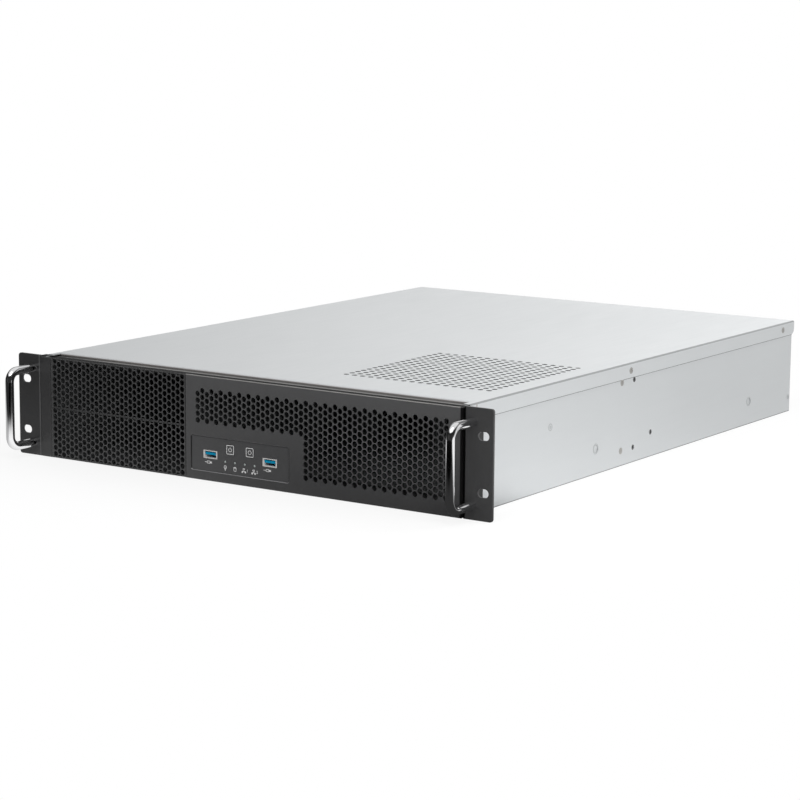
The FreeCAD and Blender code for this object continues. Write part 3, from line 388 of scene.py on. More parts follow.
def strip_finish(base):
    """Coat of the front frame, whose top strip is matt, with painted shade just behind the panel and towards
    its left end
    """
    finish = Finish("frame_coat")
    peel = finish.noise(1500.0)
    # Painted shade: the strip is dark just behind the panel and towards its left end, grey elsewhere
    clear = finish.axis("Y").above(HEM_Y - 6.0 * MM)
    along = finish.axis("X").ramp(*STRIP_SHADE_FADE, kind="LINEAR")
    finish.set(Base_Color=finish.blend(clear * along, shade(base, 0.15), STRIP_GREY),
               Roughness=0.8 - clear * 0.45 + (peel - 0.5) * 0.1, Specular_IOR_Level=0.3,
               Normal=finish.bump(peel, 0.15, 0.04 * MM))


def chrome_finish():
    finish = Finish("chrome_plating")
    cloud = finish.noise(60.0)
    base = colours().chrome
    finish.set(Base_Color=finish.blend(cloud, shade(base, 0.97), shade(base, 1.0)), Metallic=1.0,
               Roughness=0.07 + cloud * 0.05)


def steel_finish(name, base, rough, metal=1.0):
    finish = Finish(name)
    scratch = finish.noise(700.0, 2.0, (1.0, 1.0, 0.2))
    finish.set(Base_Color=finish.blend(scratch, shade(base, 0.88), shade(base, 1.08)), Metallic=metal,
               Roughness=rough + (scratch - 0.5) * 0.16, Normal=finish.bump(scratch, 0.08, 0.02 * MM))


def moulded_finish(name, base, rough, coat=0.0, shine=0.5):
    """Plastic or lacquer; coat is the weight of a clear layer, shine the specular level"""
    finish = Finish(name)
    pores = finish.noise(2600.0, 1.0)
    cloud = finish.noise(90.0)
    finish.set(Base_Color=finish.blend(cloud, shade(base, 0.94), shade(base, 1.06)),
               Roughness=rough + (pores - 0.5) * 0.1, Normal=finish.bump(pores, 0.12, 0.03 * MM),
               Coat_Weight=coat, Specular_IOR_Level=shine)


def lens_finish():
    finish = Finish("light_lens")
    cloud = finish.noise(800.0, 1.0)
    finish.set(Base_Color=finish.blend(cloud, LENS_DARK, LENS_LIGHT), Roughness=0.16 + cloud * 0.06)


# Pieces

def material(name):
    return bpy.data.materials[name + "_finish"]


def keep(name, bm, body, finish, stands_for=(), smooth=0.0):
    """Turns a bmesh into a piece of the object that rides on its body"""
    bmesh.ops.remove_doubles(bm, verts=bm.verts, dist=SAME_PLACE)
    bmesh.ops.recalc_face_normals(bm, faces=bm.faces)
    mesh = bpy.data.meshes.new(name)
    bm.to_mesh(mesh)
    bm.free()
    mesh.materials.append(material(finish))
    if smooth:
        mesh.shade_smooth()
        mesh.set_sharp_from_angle(angle=math.radians(smooth))
    piece = bpy.data.objects.new(name, mesh)
    bpy.context.scene.collection.objects.link(piece)
    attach(piece, body)
    if stands_for:
        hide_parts(*stands_for)
    return piece


def loop(bm, points):
    """A closed loop of edges through a few points"""
    verts = [bm.verts.new(point) for point in points]
    return [bm.edges.new((a, b)) for a, b in zip(verts, verts[1:] + verts[:1])]


def rounded_loop(bm, x0, x1, z0, z1, radius, y):
    """A rectangle with round corners that faces the front"""
    edges = loop(bm, [(x0, y, z0), (x1, y, z0), (x1, y, z1), (x0, y, z1)])
    corners = list({v for e in edges for v in e.verts})
    bmesh.ops.bevel(bm, geom=corners, offset=radius, offset_type="OFFSET", affect="VERTICES", segments=4,
                    profile=0.5, material=-1)


def facing_front(x, y, z):
    return Matrix.Translation((x, y, z)) @ Matrix.Rotation(math.radians(90), 4, "X")


def pointing(place, way):
    """Turns the Z axis along a way and moves the origin to a place"""
    turn = Vector((0, 0, 1)).rotation_difference(Vector(way)).to_matrix().to_4x4()
    return Matrix.Translation(place) @ turn


def hex_hole(bm, x, y, z, width):
    """A six-sided hole with its corners cut, flats above and below"""
    made = bmesh.ops.create_circle(bm, cap_ends=False, segments=6, radius=width / math.sqrt(3),
                                   matrix=facing_front(x, y, z))
    bmesh.ops.bevel(bm, geom=made["verts"], offset=width * HOLE_CORNER, offset_type="OFFSET",
                    affect="VERTICES", segments=1, profile=0.5, material=-1)


def fill(bm, edges, normal):
    """Fills the flat area between some loops; gives the new faces"""
    made = bmesh.ops.triangle_fill(bm, use_beauty=True, use_dissolve=False, edges=edges, normal=normal)
    return [g for g in made["geom"] if isinstance(g, bmesh.types.BMFace)]


def thicken(bm, faces, step):
    """Extrudes some faces by one step"""
    made = bmesh.ops.extrude_face_region(bm, geom=faces)
    verts = [g for g in made["geom"] if isinstance(g, bmesh.types.BMVert)]
    bmesh.ops.translate(bm, verts=verts, vec=step)


def extruded(bm, edges):
    """Extrudes some edges in place; gives the new vertices and the edges between them"""
    made = bmesh.ops.extrude_edge_only(bm, edges=edges)["geom"]
    verts = [g for g in made if isinstance(g, bmesh.types.BMVert)]
    outer = [g for g in made if isinstance(g, bmesh.types.BMEdge) and all(v in verts for v in g.verts)]
    return verts, outer


def cut(bm, place, normal, clear=False):
    """Cuts a mesh along a plane, and clears what lies beyond it if asked"""
    bmesh.ops.bisect_plane(bm, geom=bm.verts[:] + bm.edges[:] + bm.faces[:], dist=1e-7, plane_co=place,
                           plane_no=normal, clear_outer=clear)


def cuboid(bm, low, high):
    made = bmesh.ops.create_cube(bm, size=1.0)
    low, high = Vector(low), Vector(high)
    bmesh.ops.scale(bm, vec=high - low, verts=made["verts"])
    bmesh.ops.translate(bm, vec=(low + high) / 2, verts=made["verts"])


def islands(node):
    """Centre and size of each loose solid in a node of the frame"""
    bm = bmesh.new()
    bm.from_mesh(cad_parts[node].data)
    bmesh.ops.remove_doubles(bm, verts=bm.verts, dist=SAME_PLACE)
    left = set(bm.verts)
    found = []
    while left:
        group = {left.pop()}
        edge = list(group)
        while edge:
            near = {other for v in edge for e in v.link_edges for other in e.verts} & left
            left -= near
            group |= near
            edge = list(near)
        low = Vector([min(v.co[i] for v in group) for i in range(3)])
        high = Vector([max(v.co[i] for v in group) for i in range(3)])
        found.append(((low + high) / 2, high - low))
    bm.free()
    return found


def front_mesh_holes():
    """Centres of the front mesh: a band of a few rows at the left, full height at the right"""
    pitch = sizes().mesh_pitch
    step = pitch * math.sqrt(3) / 2
    centres = []
    for column in range(MESH_COLUMNS):
        odd = column % 2
        rows = BAND_ROWS if column < BAND_COLUMNS else MESH_ROWS + odd
        top = MESH_TOP + odd * pitch / 2
        centres += [(MESH_LEFT + column * step, top - row * pitch) for row in range(rows)]
    return centres


def bay_mesh_holes(top):
    """Centres of one bay cover; the folds at its upper and lower edges cut every other column"""
    pitch = sizes().bay_pitch
    centres = []
    for column in range(BAY_COLUMNS):
        odd = column % 2
        x = BAY_LEFT + BAY_STEP * column
        centres += [(x, top + odd * pitch / 2 - row * pitch) for row in range(BAY_ROWS + odd)]
    return centres


class CASE_OT_front_panel(bpy.types.Operator):
    """Front panel with its mesh at the real pitch and the opening for the controls"""
    bl_idname = "case.front_panel"
    bl_label = "Front panel"

    def execute(self, context):
        bm = bmesh.new()
        y = PANEL_LOW.y
        gap = 0.65 * MM
        loop(bm, [(PANEL_LOW.x, y, PANEL_LOW.z), (PANEL_HIGH.x, y, PANEL_LOW.z),
                  (PANEL_HIGH.x, y, PANEL_HIGH.z), (PANEL_LOW.x, y, PANEL_HIGH.z)])
        self.opening(bm, gap, y)
        for x, z in front_mesh_holes():
            hex_hole(bm, x, y, z, sizes().mesh_hole)
        fill(bm, bm.edges, (0, -1, 0))
        thicken(bm, bm.faces[:], (0, PANEL_HIGH.y - y, 0))
        keep("front_mesh_panel", bm, "chassis", "black_coat", ["front_panel"])
        bm = bmesh.new()
        self.opening(bm, gap, y)
        self.opening(bm, 0.15 * MM, y + 0.6 * MM)
        bmesh.ops.bridge_loops(bm, edges=bm.edges[:])
        bmesh.ops.solidify(bm, geom=bm.faces[:], thickness=0.1 * MM)
        keep("control_rim", bm, "chassis", "rim_coat")
        return {"FINISHED"}

    def opening(self, bm, reach, y):
        """The outline of the controls, a little larger by reach"""
        rounded_loop(bm, CONTROL_LOW.x - reach, CONTROL_HIGH.x + reach, CONTROL_LOW.z - reach,
                     CONTROL_HIGH.z + reach, 1.35 * MM + reach, y)


class CASE_OT_bay_covers(bpy.types.Operator):
    """The two mesh covers of the drive bays, with their folded rims and spring clips"""
    bl_idname = "case.bay_covers"
    bl_label = "Bay covers"

    def execute(self, context):
        for level, top in BAY_TOPS.items():
            node = "bay_cover_" + level
            low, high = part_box(node)
            back = low.y + 1.1 * MM
            over = 5 * MM
            bm = bmesh.new()
            loop(bm, [(low.x, low.y, low.z - over), (high.x, low.y, low.z - over),
                      (high.x, low.y, high.z + over), (low.x, low.y, high.z + over)])
            for x, z in bay_mesh_holes(top):
                hex_hole(bm, x, low.y, z, sizes().bay_hole)
            fill(bm, bm.edges, (0, -1, 0))
            for edge, way in ((low.z, -1), (high.z, 1)):
                cut(bm, (0, 0, edge), (0, 0, way), True)
            thicken(bm, bm.faces[:], (0, back - low.y, 0))
            rim = 0.7 * MM
            for z0, z1 in ((low.z, low.z + rim), (high.z - rim, high.z)):
                cuboid(bm, (low.x, back - 0.45 * MM, z0), (high.x, back, z1))
            middle = (low.z + high.z) / 2
            clip = 7 * MM
            for x0, x1 in ((low.x, low.x + rim), (high.x - rim, high.x)):
                cuboid(bm, (x0, back - 0.2 * MM, middle - clip), (x1, high.y, middle + clip))
            keep("bay_mesh_" + level, bm, node, "bay_coat", [node])
        return {"FINISHED"}


class CASE_OT_top_cover(bpy.types.Operator):
    """Top cover folded from one sheet, with its flanges, hem and the square vent"""
    bl_idname = "case.top_cover"
    bl_label = "Top cover"

    def execute(self, context):
        bm = bmesh.new()
        radius = sizes().bend
        quarter = radius * math.pi / 2
        top = COVER_HIGH.z
        side = COVER_HIGH.x - radius
        hem_line = HEM_Y + radius
        hem_half = COVER_HIGH.x - 6.3 * MM
        loop(bm, [(x, y, top) for x, y in self.outline(side + quarter, hem_line, hem_half)])
        count = sizes().vent_count
        for row in range(count):
            for column in range(count):
                x = VENT_CORNER[0] + VENT_SPAN[0] * column / (count - 1)
                y = VENT_CORNER[1] + VENT_SPAN[1] * row / (count - 1)
                bmesh.ops.create_circle(bm, cap_ends=False, segments=12, radius=sizes().vent_hole / 2,
                                        matrix=Matrix.Translation((x, y, top)))
        fill(bm, bm.edges, (0, 0, 1))
        for way in (1, -1):
            self.fold(bm, 0, way, side, quarter)
        self.fold(bm, 1, -1, -hem_line, quarter, hem_half)
        bmesh.ops.recalc_face_normals(bm, faces=bm.faces)
        if sum(f.normal.z for f in bm.faces) < 0:
            bmesh.ops.reverse_faces(bm, faces=bm.faces)
        bmesh.ops.solidify(bm, geom=bm.faces[:], thickness=sizes().sheet)
        piece = keep("folded_cover", bm, "top_cover", "zinc_cover", ["top_cover"], 30)
        piece.modifiers.new("even_shading", "WEIGHTED_NORMAL").keep_sharp = True
        return {"FINISHED"}

    def outline(self, fold_end, hem_line, hem_half):
        """The flat sheet before it is folded, with round rear corners and a hem between two slits"""
        radius = sizes().bend
        flange = fold_end + COVER_HIGH.z - COVER_LOW.z - radius
        front = COVER_LOW.y
        rear = COVER_HIGH.y
        hem_edge = hem_line - radius * math.pi / 2 - (1.8 * MM - radius)
        slit = hem_half + 0.3 * MM
        corner = 5.5 * MM
        outline = []
        for way in (1, -1):
            half = [(hem_half * way, hem_edge), (hem_half * way, hem_line + radius),
                    (slit * way, hem_line + radius), (slit * way, front), (flange * way, front),
                    (flange * way, rear - corner)]
            for step in range(1, 7):
                turn = math.radians(90 * step / 6)
                x = flange - corner * (1 - math.cos(turn))
                half.append((x * way, rear - corner * (1 - math.sin(turn))))
            outline += half if way == 1 else half[::-1]
        return outline

    def fold(self, bm, axis, way, line, quarter, limit=math.inf):
        """Bends what lies beyond a line down by a right angle, in a few small turns"""
        steps = 5
        normal = Vector((0, 0, 0))
        normal[axis] = way
        cuts = [line + quarter * (step + 0.5) / steps for step in range(steps)]
        for place in [line] + cuts + [line + quarter]:
            cut(bm, normal * place, normal)
        groups = [[v for v in bm.verts if v.co[axis] * way > place + 1e-7 and abs(v.co.x) < limit + SAME_PLACE]
                  for place in cuts]
        turn = Matrix.Rotation(math.radians(90 / steps), 3, Vector((0, 0, 1)).cross(normal))
        for place, group in reversed(list(zip(cuts, groups))):
            bmesh.ops.rotate(bm, verts=group, cent=normal * place + Vector((0, 0, COVER_HIGH.z)), matrix=turn)


class CASE_OT_handles(bpy.types.Operator):
    """The two chromed handles, each a round rod bent to a U"""
    bl_idname = "case.handles"
    bl_label = "Handles"

    def execute(self, context):
        for side in ("left", "right"):
            low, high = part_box("handle_" + side)
            radius = (high.x - low.x) / 2
            x = (low.x + high.x) / 2
            bend = 9.0 * MM
            out = low.y + radius
            foot = low.z + radius
            head = high.z - radius
            bm = bmesh.new()
            bmesh.ops.create_circle(bm, cap_ends=True, segments=28, radius=radius,
                                    matrix=facing_front(x, high.y, foot))
            ring = self.run(bm, bm.edges[:], (0, out + bend - high.y, 0))
            ring = self.turn(bm, ring, (x, out + bend, foot + bend))
            ring = self.run(bm, ring, (0, 0, head - foot - 2 * bend))
            ring = self.turn(bm, ring, (x, out + bend, head - bend))
            ring = self.run(bm, ring, (0, high.y - out - bend, 0))
            bmesh.ops.contextual_create(bm, geom=ring)
            keep("grip_" + side, bm, "chassis", "chrome_plating", ["handle_" + side], 50)
        return {"FINISHED"}

    def run(self, bm, ring, step):
        """A straight length of rod"""
        verts, ring = extruded(bm, ring)
        bmesh.ops.translate(bm, verts=verts, vec=step)
        return ring

    def turn(self, bm, ring, centre):
        """A bend of the rod by a right angle"""
        verts = list({v for e in ring for v in e.verts})
        made = bmesh.ops.spin(bm, geom=verts + ring, cent=centre, axis=(1, 0, 0), angle=math.radians(-90),
                              steps=10, use_merge=False)
        return [g for g in made["geom_last"] if isinstance(g, bmesh.types.BMEdge)]


def cross_head(bm, place, way, radius, height, sunk=False):
    """A round screw head with a cross recess; place is where the head's rim meets the sheet"""
    start = set(bm.verts)
    flat = radius * (0.97 if sunk else 0.72)
    circle = bmesh.ops.create_circle(bm, cap_ends=False, segments=20, radius=flat,
                                     matrix=Matrix.Translation((0, 0, height)))
    rim = list({e for v in circle["verts"] for e in v.link_edges})
    arm = radius * 0.55
    half = radius * 0.13
    cross = [(arm, -half), (arm, half), (half, half), (half, arm), (-half, arm), (-half, half), (-arm, half),
             (-arm, -half), (-half, -half), (-half, -arm), (half, -arm), (half, -half)]
    recess = loop(bm, [(x, y, height) for x, y in cross])
    fill(bm, rim + recess, (0, 0, 1))
    verts, bottom = extruded(bm, recess)
    bmesh.ops.translate(bm, verts=verts, vec=(0, 0, -radius * 0.35))
    bmesh.ops.scale(bm, verts=verts, vec=(0.7, 0.7, 1))
    bmesh.ops.contextual_create(bm, geom=bottom)
    for level in (height * (0.7 if sunk else 0.5), 0.0):
        verts, rim = extruded(bm, rim)
        now = math.hypot(verts[0].co.x, verts[0].co.y)
        bmesh.ops.scale(bm, verts=verts, vec=(radius / now, radius / now, 1))
        bmesh.ops.translate(bm, verts=verts, vec=(0, 0, level - verts[0].co.z))
    bmesh.ops.contextual_create(bm, geom=rim)
    new = [v for v in bm.verts if v not in start]
    bmesh.ops.transform(bm, matrix=pointing(place, way), verts=new)


class CASE_OT_screws(bpy.types.Operator):
    """Heads of the screws, round or sunk, each with its cross recess"""
    bl_idname = "case.screws"
    bl_label = "Screws"

    def execute(self, context):
        radius = 2.9 * MM
        self.sideways("ear_screws", "chassis", radius, 1.9 * MM, False, "dark_screw")
        self.sideways("cover_screws", "top_cover", radius, 0.12 * MM, True, "screw_steel")
        self.sideways("fan_wall_screws", "chassis", radius, 0.12 * MM, True, "screw_steel")
        self.group("handle_screws", (0, 1, 0), 3.6 * MM, 2.4 * MM)
        for node, way in (("fan_screws", (0, 1, 0)), ("slot_screws", (0, 0, 1)), ("floor_screws", (0, 0, 1)),
                          ("panel_screws", (0, 1, 0)), ("control_board_screws", (0, 1, 0))):
            self.group(node, way, radius, 1.8 * MM)
        return {"FINISHED"}

    def sideways(self, node, body, radius, height, sunk, finish):
        """Screws in the sides, whose heads face away from the middle"""
        bm = bmesh.new()
        for centre, size in islands(node):
            way = math.copysign(1, centre.x)
            face = centre.x + way * (size.x / 2 - (0 if sunk else height))
            cross_head(bm, (face, centre.y, centre.z), (way, 0, 0), radius, height, sunk)
            self.shank(bm, centre, size, 0)
        keep(node + "_round", bm, body, finish, [node], 40)

    def group(self, node, way, radius, height):
        """Screws whose heads all face one way"""
        bm = bmesh.new()
        axis = way.index(1)
        for centre, size in islands(node):
            face = centre.copy()
            face[axis] += size[axis] / 2 - height
            cross_head(bm, face, way, radius, height)
            self.shank(bm, centre, size, axis)
        keep(node + "_round", bm, "chassis", "screw_steel", [node], 40)

    def shank(self, bm, centre, size, axis):
        radius = 1.5 * MM
        way = [float(i == axis) for i in range(3)]
        bmesh.ops.create_cone(bm, cap_ends=True, segments=14, radius1=radius, radius2=radius,
                              depth=size[axis] - 0.2 * MM, matrix=pointing(centre, way))


def spun(bm, profile, place, way, steps=28):
    """Spins a closed profile of (radius, height) points about an axis through place"""
    verts = [bm.verts.new((r, 0, h)) for r, h in profile]
    edges = [bm.edges.new(pair) for pair in zip(verts, verts[1:] + verts[:1])]
    start = set(bm.verts) - set(verts)
    bmesh.ops.spin(bm, geom=verts + edges, cent=(0, 0, 0), axis=(0, 0, 1), angle=math.tau, steps=steps,
                   use_merge=True)
    new = [v for v in bm.verts if v not in start]
    bmesh.ops.transform(bm, matrix=pointing(place, way), verts=new)


class CASE_OT_side_marks(bpy.types.Operator):
    """Round dimples, stamped rings whose raised lines are darkened as painted shade, rims of the sunk screws in
    painted shade and the shade under the cover's edge
    """
    bl_idname = "case.side_marks"
    bl_label = "Side marks"

    def execute(self, context):
        dimples = bmesh.new()
        shades = bmesh.new()
        lines = bmesh.new()
        lift = 0.03 * MM
        dimple = [(5.4 * MM, 0), (5.3 * MM, lift), (4.15 * MM, lift), (4.0 * MM, 0.14 * MM),
                  (3.5 * MM, 0.14 * MM), (3.3 * MM, -0.15 * MM), (1.6 * MM, -0.5 * MM), (POLE, -0.55 * MM),
                  (POLE, -0.95 * MM), (1.7 * MM, -0.95 * MM)]
        sunk_rim_shade = [(2.3 * MM, 0), (2.25 * MM, lift), (1.5 * MM, lift), (1.4 * MM, -0.5 * MM)]
        for way in (1, -1):
            x = BASE_HIGH.x * way
            out = (way, 0, 0)
            for y, z in DIMPLES:
                spun(dimples, dimple, (x, EAR_Y + y, z), out)
            for y, z, radii, width in RINGS:
                for radius in radii:
                    self.line(lines, (x, EAR_Y + y, z), out, radius, width)
            for y, z in SUNK_RIM_SHADES:
                spun(shades, sunk_rim_shade, (x, EAR_Y + y, z), out)
            edge = COVER_LOW.z
            cuboid(shades, (x - 0.05 * MM, COVER_LOW.y, edge - 0.7 * MM),
                   (x + 0.05 * MM, BASE_HIGH.y, edge + 0.2 * MM))
        # Painted shade: the rings' lines, the rims round the sunk screws and the line under the cover's edge
        # are darker sheet
        keep("side_lines", lines, "chassis", "zinc_line_shade", (), 40)
        keep("side_shades", shades, "chassis", "zinc_shade", (), 40)
        keep("side_dimples", dimples, "chassis", "zinc_side", (), 40)
        return {"FINISHED"}

    def line(self, bm, place, way, radius, width):
        """A fine raised circle"""
        inner = radius - width
        height = 0.16 * MM
        spun(bm, [(radius, 0), (radius, height), (inner, height), (inner, 0)], place, way)


class CASE_OT_controls(bpy.types.Operator):
    """Button caps, light lenses and the printed signs of the control panel"""
    bl_idname = "case.controls"
    bl_label = "Controls"

    def execute(self, context):
        for name in ("power_button", "reset_button"):
            low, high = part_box(name)
            x = (low.x + high.x) / 2
            z = (low.z + high.z) / 2
            half = 4.5 * MM
            stem = 1.5 * MM
            bm = bmesh.new()
            cuboid(bm, (x - half, low.y, z - half), (x + half, low.y + 4.5 * MM, z + half))
            upright = [e for e in bm.edges if abs(e.verts[0].co.y - e.verts[1].co.y) > 1 * MM]
            self.round_off(bm, upright, 1.1 * MM, 4)
            front = [e for e in bm.edges if all(v.co.y < low.y + SAME_PLACE for v in e.verts)]
            self.round_off(bm, front, 0.25 * MM, 2)
            cuboid(bm, (low.x, low.y + 4.0 * MM, low.z), (high.x, low.y + 5.2 * MM, high.z))
            cuboid(bm, (x - stem, low.y + 5.0 * MM, z - stem), (x + stem, high.y, z + stem))
            keep(name + "_cap", bm, name, "button_plastic", [name], 40)
            self.button_sign(name, x, low.y, z)
        self.lights()
        self.panel_signs()
        return {"FINISHED"}

    def round_off(self, bm, edges, radius, steps):
        bmesh.ops.bevel(bm, geom=edges, offset=radius, offset_type="OFFSET", affect="EDGES", segments=steps,
                        profile=0.5, material=-1)

    def button_sign(self, name, x, y, z):
        bm = bmesh.new()
        ink = sizes().ink
        ring = 1.55 * MM
        self.frame_line(bm, x, y, z, 3.8 * MM, 3.8 * MM, 0.9 * MM, ink * 1.15)
        if name == "power_button":
            self.arc(bm, x, y, z, ring, ink, 30, 330)
            self.bar(bm, x, y, z + 1.25 * MM, ink, 1.7 * MM)
        else:
            self.arc(bm, x, y, z, ring, ink, 50, 370)
            self.bar(bm, x + 0.7 * MM, y, z + 1.4 * MM, ink, 1.3 * MM)
        keep(name + "_sign", bm, name, "marking")

    def frame_line(self, bm, x, y, z, half_x, half_z, radius, ink):
        """A thin rounded frame, printed on a face that looks to the front"""
        start = set(bm.edges)
        for grow in (0, -ink):
            rounded_loop(bm, x - half_x - grow, x + half_x + grow, z - half_z - grow, z + half_z + grow,
                         max(radius + grow, 0.05 * MM), y)
        edges = [e for e in bm.edges if e not in start]
        thicken(bm, fill(bm, edges, (0, -1, 0)), (0, -PRINT, 0))

    def arc(self, bm, x, y, z, radius, ink, first, last):
        """Part of a ring; angles are measured from the top"""
        verts = [bm.verts.new((x, y + dy, z + radius + dz)) for dy, dz in
                 ((0, -ink / 2), (0, ink / 2), (-PRINT, ink / 2), (-PRINT, -ink / 2))]
        face = bm.faces.new(verts)
        bmesh.ops.rotate(bm, verts=verts, cent=(x, y, z), matrix=Matrix.Rotation(math.radians(first), 3, "Y"))
        bmesh.ops.spin(bm, geom=[face] + list(face.edges) + verts, cent=(x, y, z), axis=(0, 1, 0),
                       angle=math.radians(last - first), steps=18, use_merge=False)

    def bar(self, bm, x, y, z, width, height):
        cuboid(bm, (x - width / 2, y - PRINT, z - height / 2), (x + width / 2, y + 0.01 * MM, z + height / 2))

    def lights(self):
        for number in range(1, 5):
            node = "status_light_%d" % number
            low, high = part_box(node)
            bm = bmesh.new()
            radius = (high.z - low.z) / 2
            depth = high.y - low.y
            profile = [(POLE, 0.45 * MM), (radius * 0.55, 0.38 * MM), (radius * 0.9, 0.2 * MM), (radius, 0.0),
                       (radius, -depth), (POLE, -depth)]
            spun(bm, profile, ((low.x + high.x) / 2, low.y, (low.z + high.z) / 2), (0, -1, 0), 20)
            keep("lens_%d" % number, bm, "chassis", "light_lens", [node], 40)

    def panel_signs(self):
        """A lamp, a drive, two networks and a plug under each data port"""
        bm = bmesh.new()
        y = CONTROL_LOW.y
        z = 12.9 * MM
        ink = sizes().ink
        x = -15.1 * MM
        self.arc(bm, x, y, z + 0.7 * MM, 1.25 * MM, ink, 150, 510)
        self.bar(bm, x, y, z + 0.5 * MM, 0.5 * MM, 1.3 * MM)
        self.bar(bm, x, y, z - 1.2 * MM, 1.3 * MM, ink)
        self.bar(bm, x, y, z - 1.9 * MM, 0.9 * MM, ink)
        x = -5.1 * MM
        self.frame_line(bm, x, y, z, 1.4 * MM, 1.8 * MM, 0.8 * MM, ink)
        self.bar(bm, x, y, z + 1.0 * MM, 2.0 * MM, ink)
        for number, x in ((1, 4.9 * MM), (2, 14.9 * MM)):
            self.network_sign(bm, x - 0.9 * MM, y, z, ink)
            self.digit(str(number), x + 2.7 * MM, y, z)
        for x in (-31.0 * MM, 29.5 * MM):
            self.plug_sign(bm, x, y, 15.8 * MM, ink)
        keep("panel_signs", bm, "chassis", "marking")

    def network_sign(self, bm, x, y, z, ink):
        self.frame_line(bm, x, y, z + 1.2 * MM, 1.0 * MM, 0.7 * MM, 0.15 * MM, ink)
        self.bar(bm, x, y, z - 0.1 * MM, ink, 1.1 * MM)
        self.bar(bm, x, y, z - 0.6 * MM, 3.6 * MM, ink)
        for way in (-1, 1):
            self.bar(bm, x + way * 1.5 * MM, y, z - 1.4 * MM, 1.4 * MM, 1.2 * MM)

    def plug_sign(self, bm, x, y, z, ink):
        self.frame_line(bm, x - 1.4 * MM, y, z, 1.6 * MM, 1.1 * MM, 0.25 * MM, ink)
        self.bar(bm, x + 1.1 * MM, y, z, 1.9 * MM, 1.4 * MM)
        self.bar(bm, x - 4.1 * MM, y, z, 2.2 * MM, ink)

    def digit(self, text, x, y, z):
        curve = bpy.data.curves.new("digit_" + text, "FONT")
        curve.body = text
        curve.size = 3.3 * MM
        curve.extrude = PRINT / 2
        curve.align_x = "CENTER"
        curve.align_y = "CENTER"
        shown = bpy.data.objects.new("digit_" + text, curve)
        mesh = bpy.data.meshes.new_from_object(shown)
        bpy.data.objects.remove(shown)
        bm = bmesh.new()
        bm.from_mesh(mesh)
        bpy.data.meshes.remove(mesh)
        bmesh.ops.transform(bm, matrix=facing_front(x, y - PRINT / 2, z), verts=bm.verts)
        keep("digit_" + text, bm, "chassis", "marking")


class CASE_OT_finishes(bpy.types.Operator):
    """Makes the finishes and puts them on the pieces of the frame"""
    bl_idname = "case.finishes"
    bl_label = "Finishes"

    def execute(self, context):
        self.make()
        chosen = {"base_pan": "zinc_side", "rear_panel": "zinc_rear", "front_frame": "frame_coat",
                  "left_stile": "stile_coat_shaded", "ear_left": "ear_coat_left_shaded", "ear_right": "ear_coat",
                  "control_panel": "black_plastic", "power_switch": "black_plastic",
                  "reset_switch": "black_plastic", "control_board": "board_green",
                  "power_inlet": "black_plastic", "board_standoffs": "brass"}
        for name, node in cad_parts.items():
            finish = chosen.get(name, "zinc_inner_shaded")
            if name.startswith(("fan_frame", "fan_rotor")):
                finish = "black_plastic"
            if name.startswith("slot_cover"):
                finish = "zinc_rear"
            if name.startswith("data_port"):
                finish = "port_steel" if "shell" in name else "port_blue"
            for place in node.material_slots:
                place.material = material(finish)
        return {"FINISHED"}

    def make(self):
        pick = colours()
        coat = Vector(pick.coat)
        plastic = Vector(pick.plastic)
        zinc_finish("zinc_cover", inner=(0.0, COVER_HIGH.z - 0.6 * MM))
        zinc_finish("zinc_side", 0.97, inner=(0.6 * MM, 1.0))
        zinc_finish("zinc_rear", 0.93, 0.4)
        zinc_finish("zinc_shade", 0.2, 0.6)
        # Darker sheet for the stamped rings' lines, as painted shade
        zinc_finish("zinc_line_shade", 0.7, 0.5)
        # Inner sheets darkened as painted shade inside the closed case
        zinc_finish("zinc_inner_shaded", 0.3, 0.5)
        strip_finish(coat)
        coat_finish("black_coat", coat, rims=True)
        rim_finish(coat)
        # The ears and the stile are darker copies of the coat as painted shade, the left ear and the stile
        # darkest
        coat_finish("ear_coat", coat * 0.8, 0.4, bends=True)
        coat_finish("ear_coat_left_shaded", coat * 0.55, 0.4, bends=True)
        coat_finish("stile_coat_shaded", coat * 0.57)
        coat_finish("bay_coat", coat * 0.85, 0.44)
        moulded_finish("black_plastic", plastic * 1.5, 0.48)
        moulded_finish("button_plastic", plastic * 1.6, 0.4)
        moulded_finish("port_blue", pick.port, 0.35, shine=0.08)
        moulded_finish("board_green", (0.01, 0.09, 0.035), 0.35, 0.4)
        moulded_finish("marking", pick.marking, 0.5)
        chrome_finish()
        steel_finish("screw_steel", (0.5, 0.49, 0.47), 0.3)
        steel_finish("dark_screw", (0.12, 0.12, 0.125), 0.4, 0.6)
        steel_finish("port_steel", (0.46, 0.45, 0.44), 0.4, 0.0)
        steel_finish("brass", (0.7, 0.5, 0.22), 0.32)
        lens_finish()


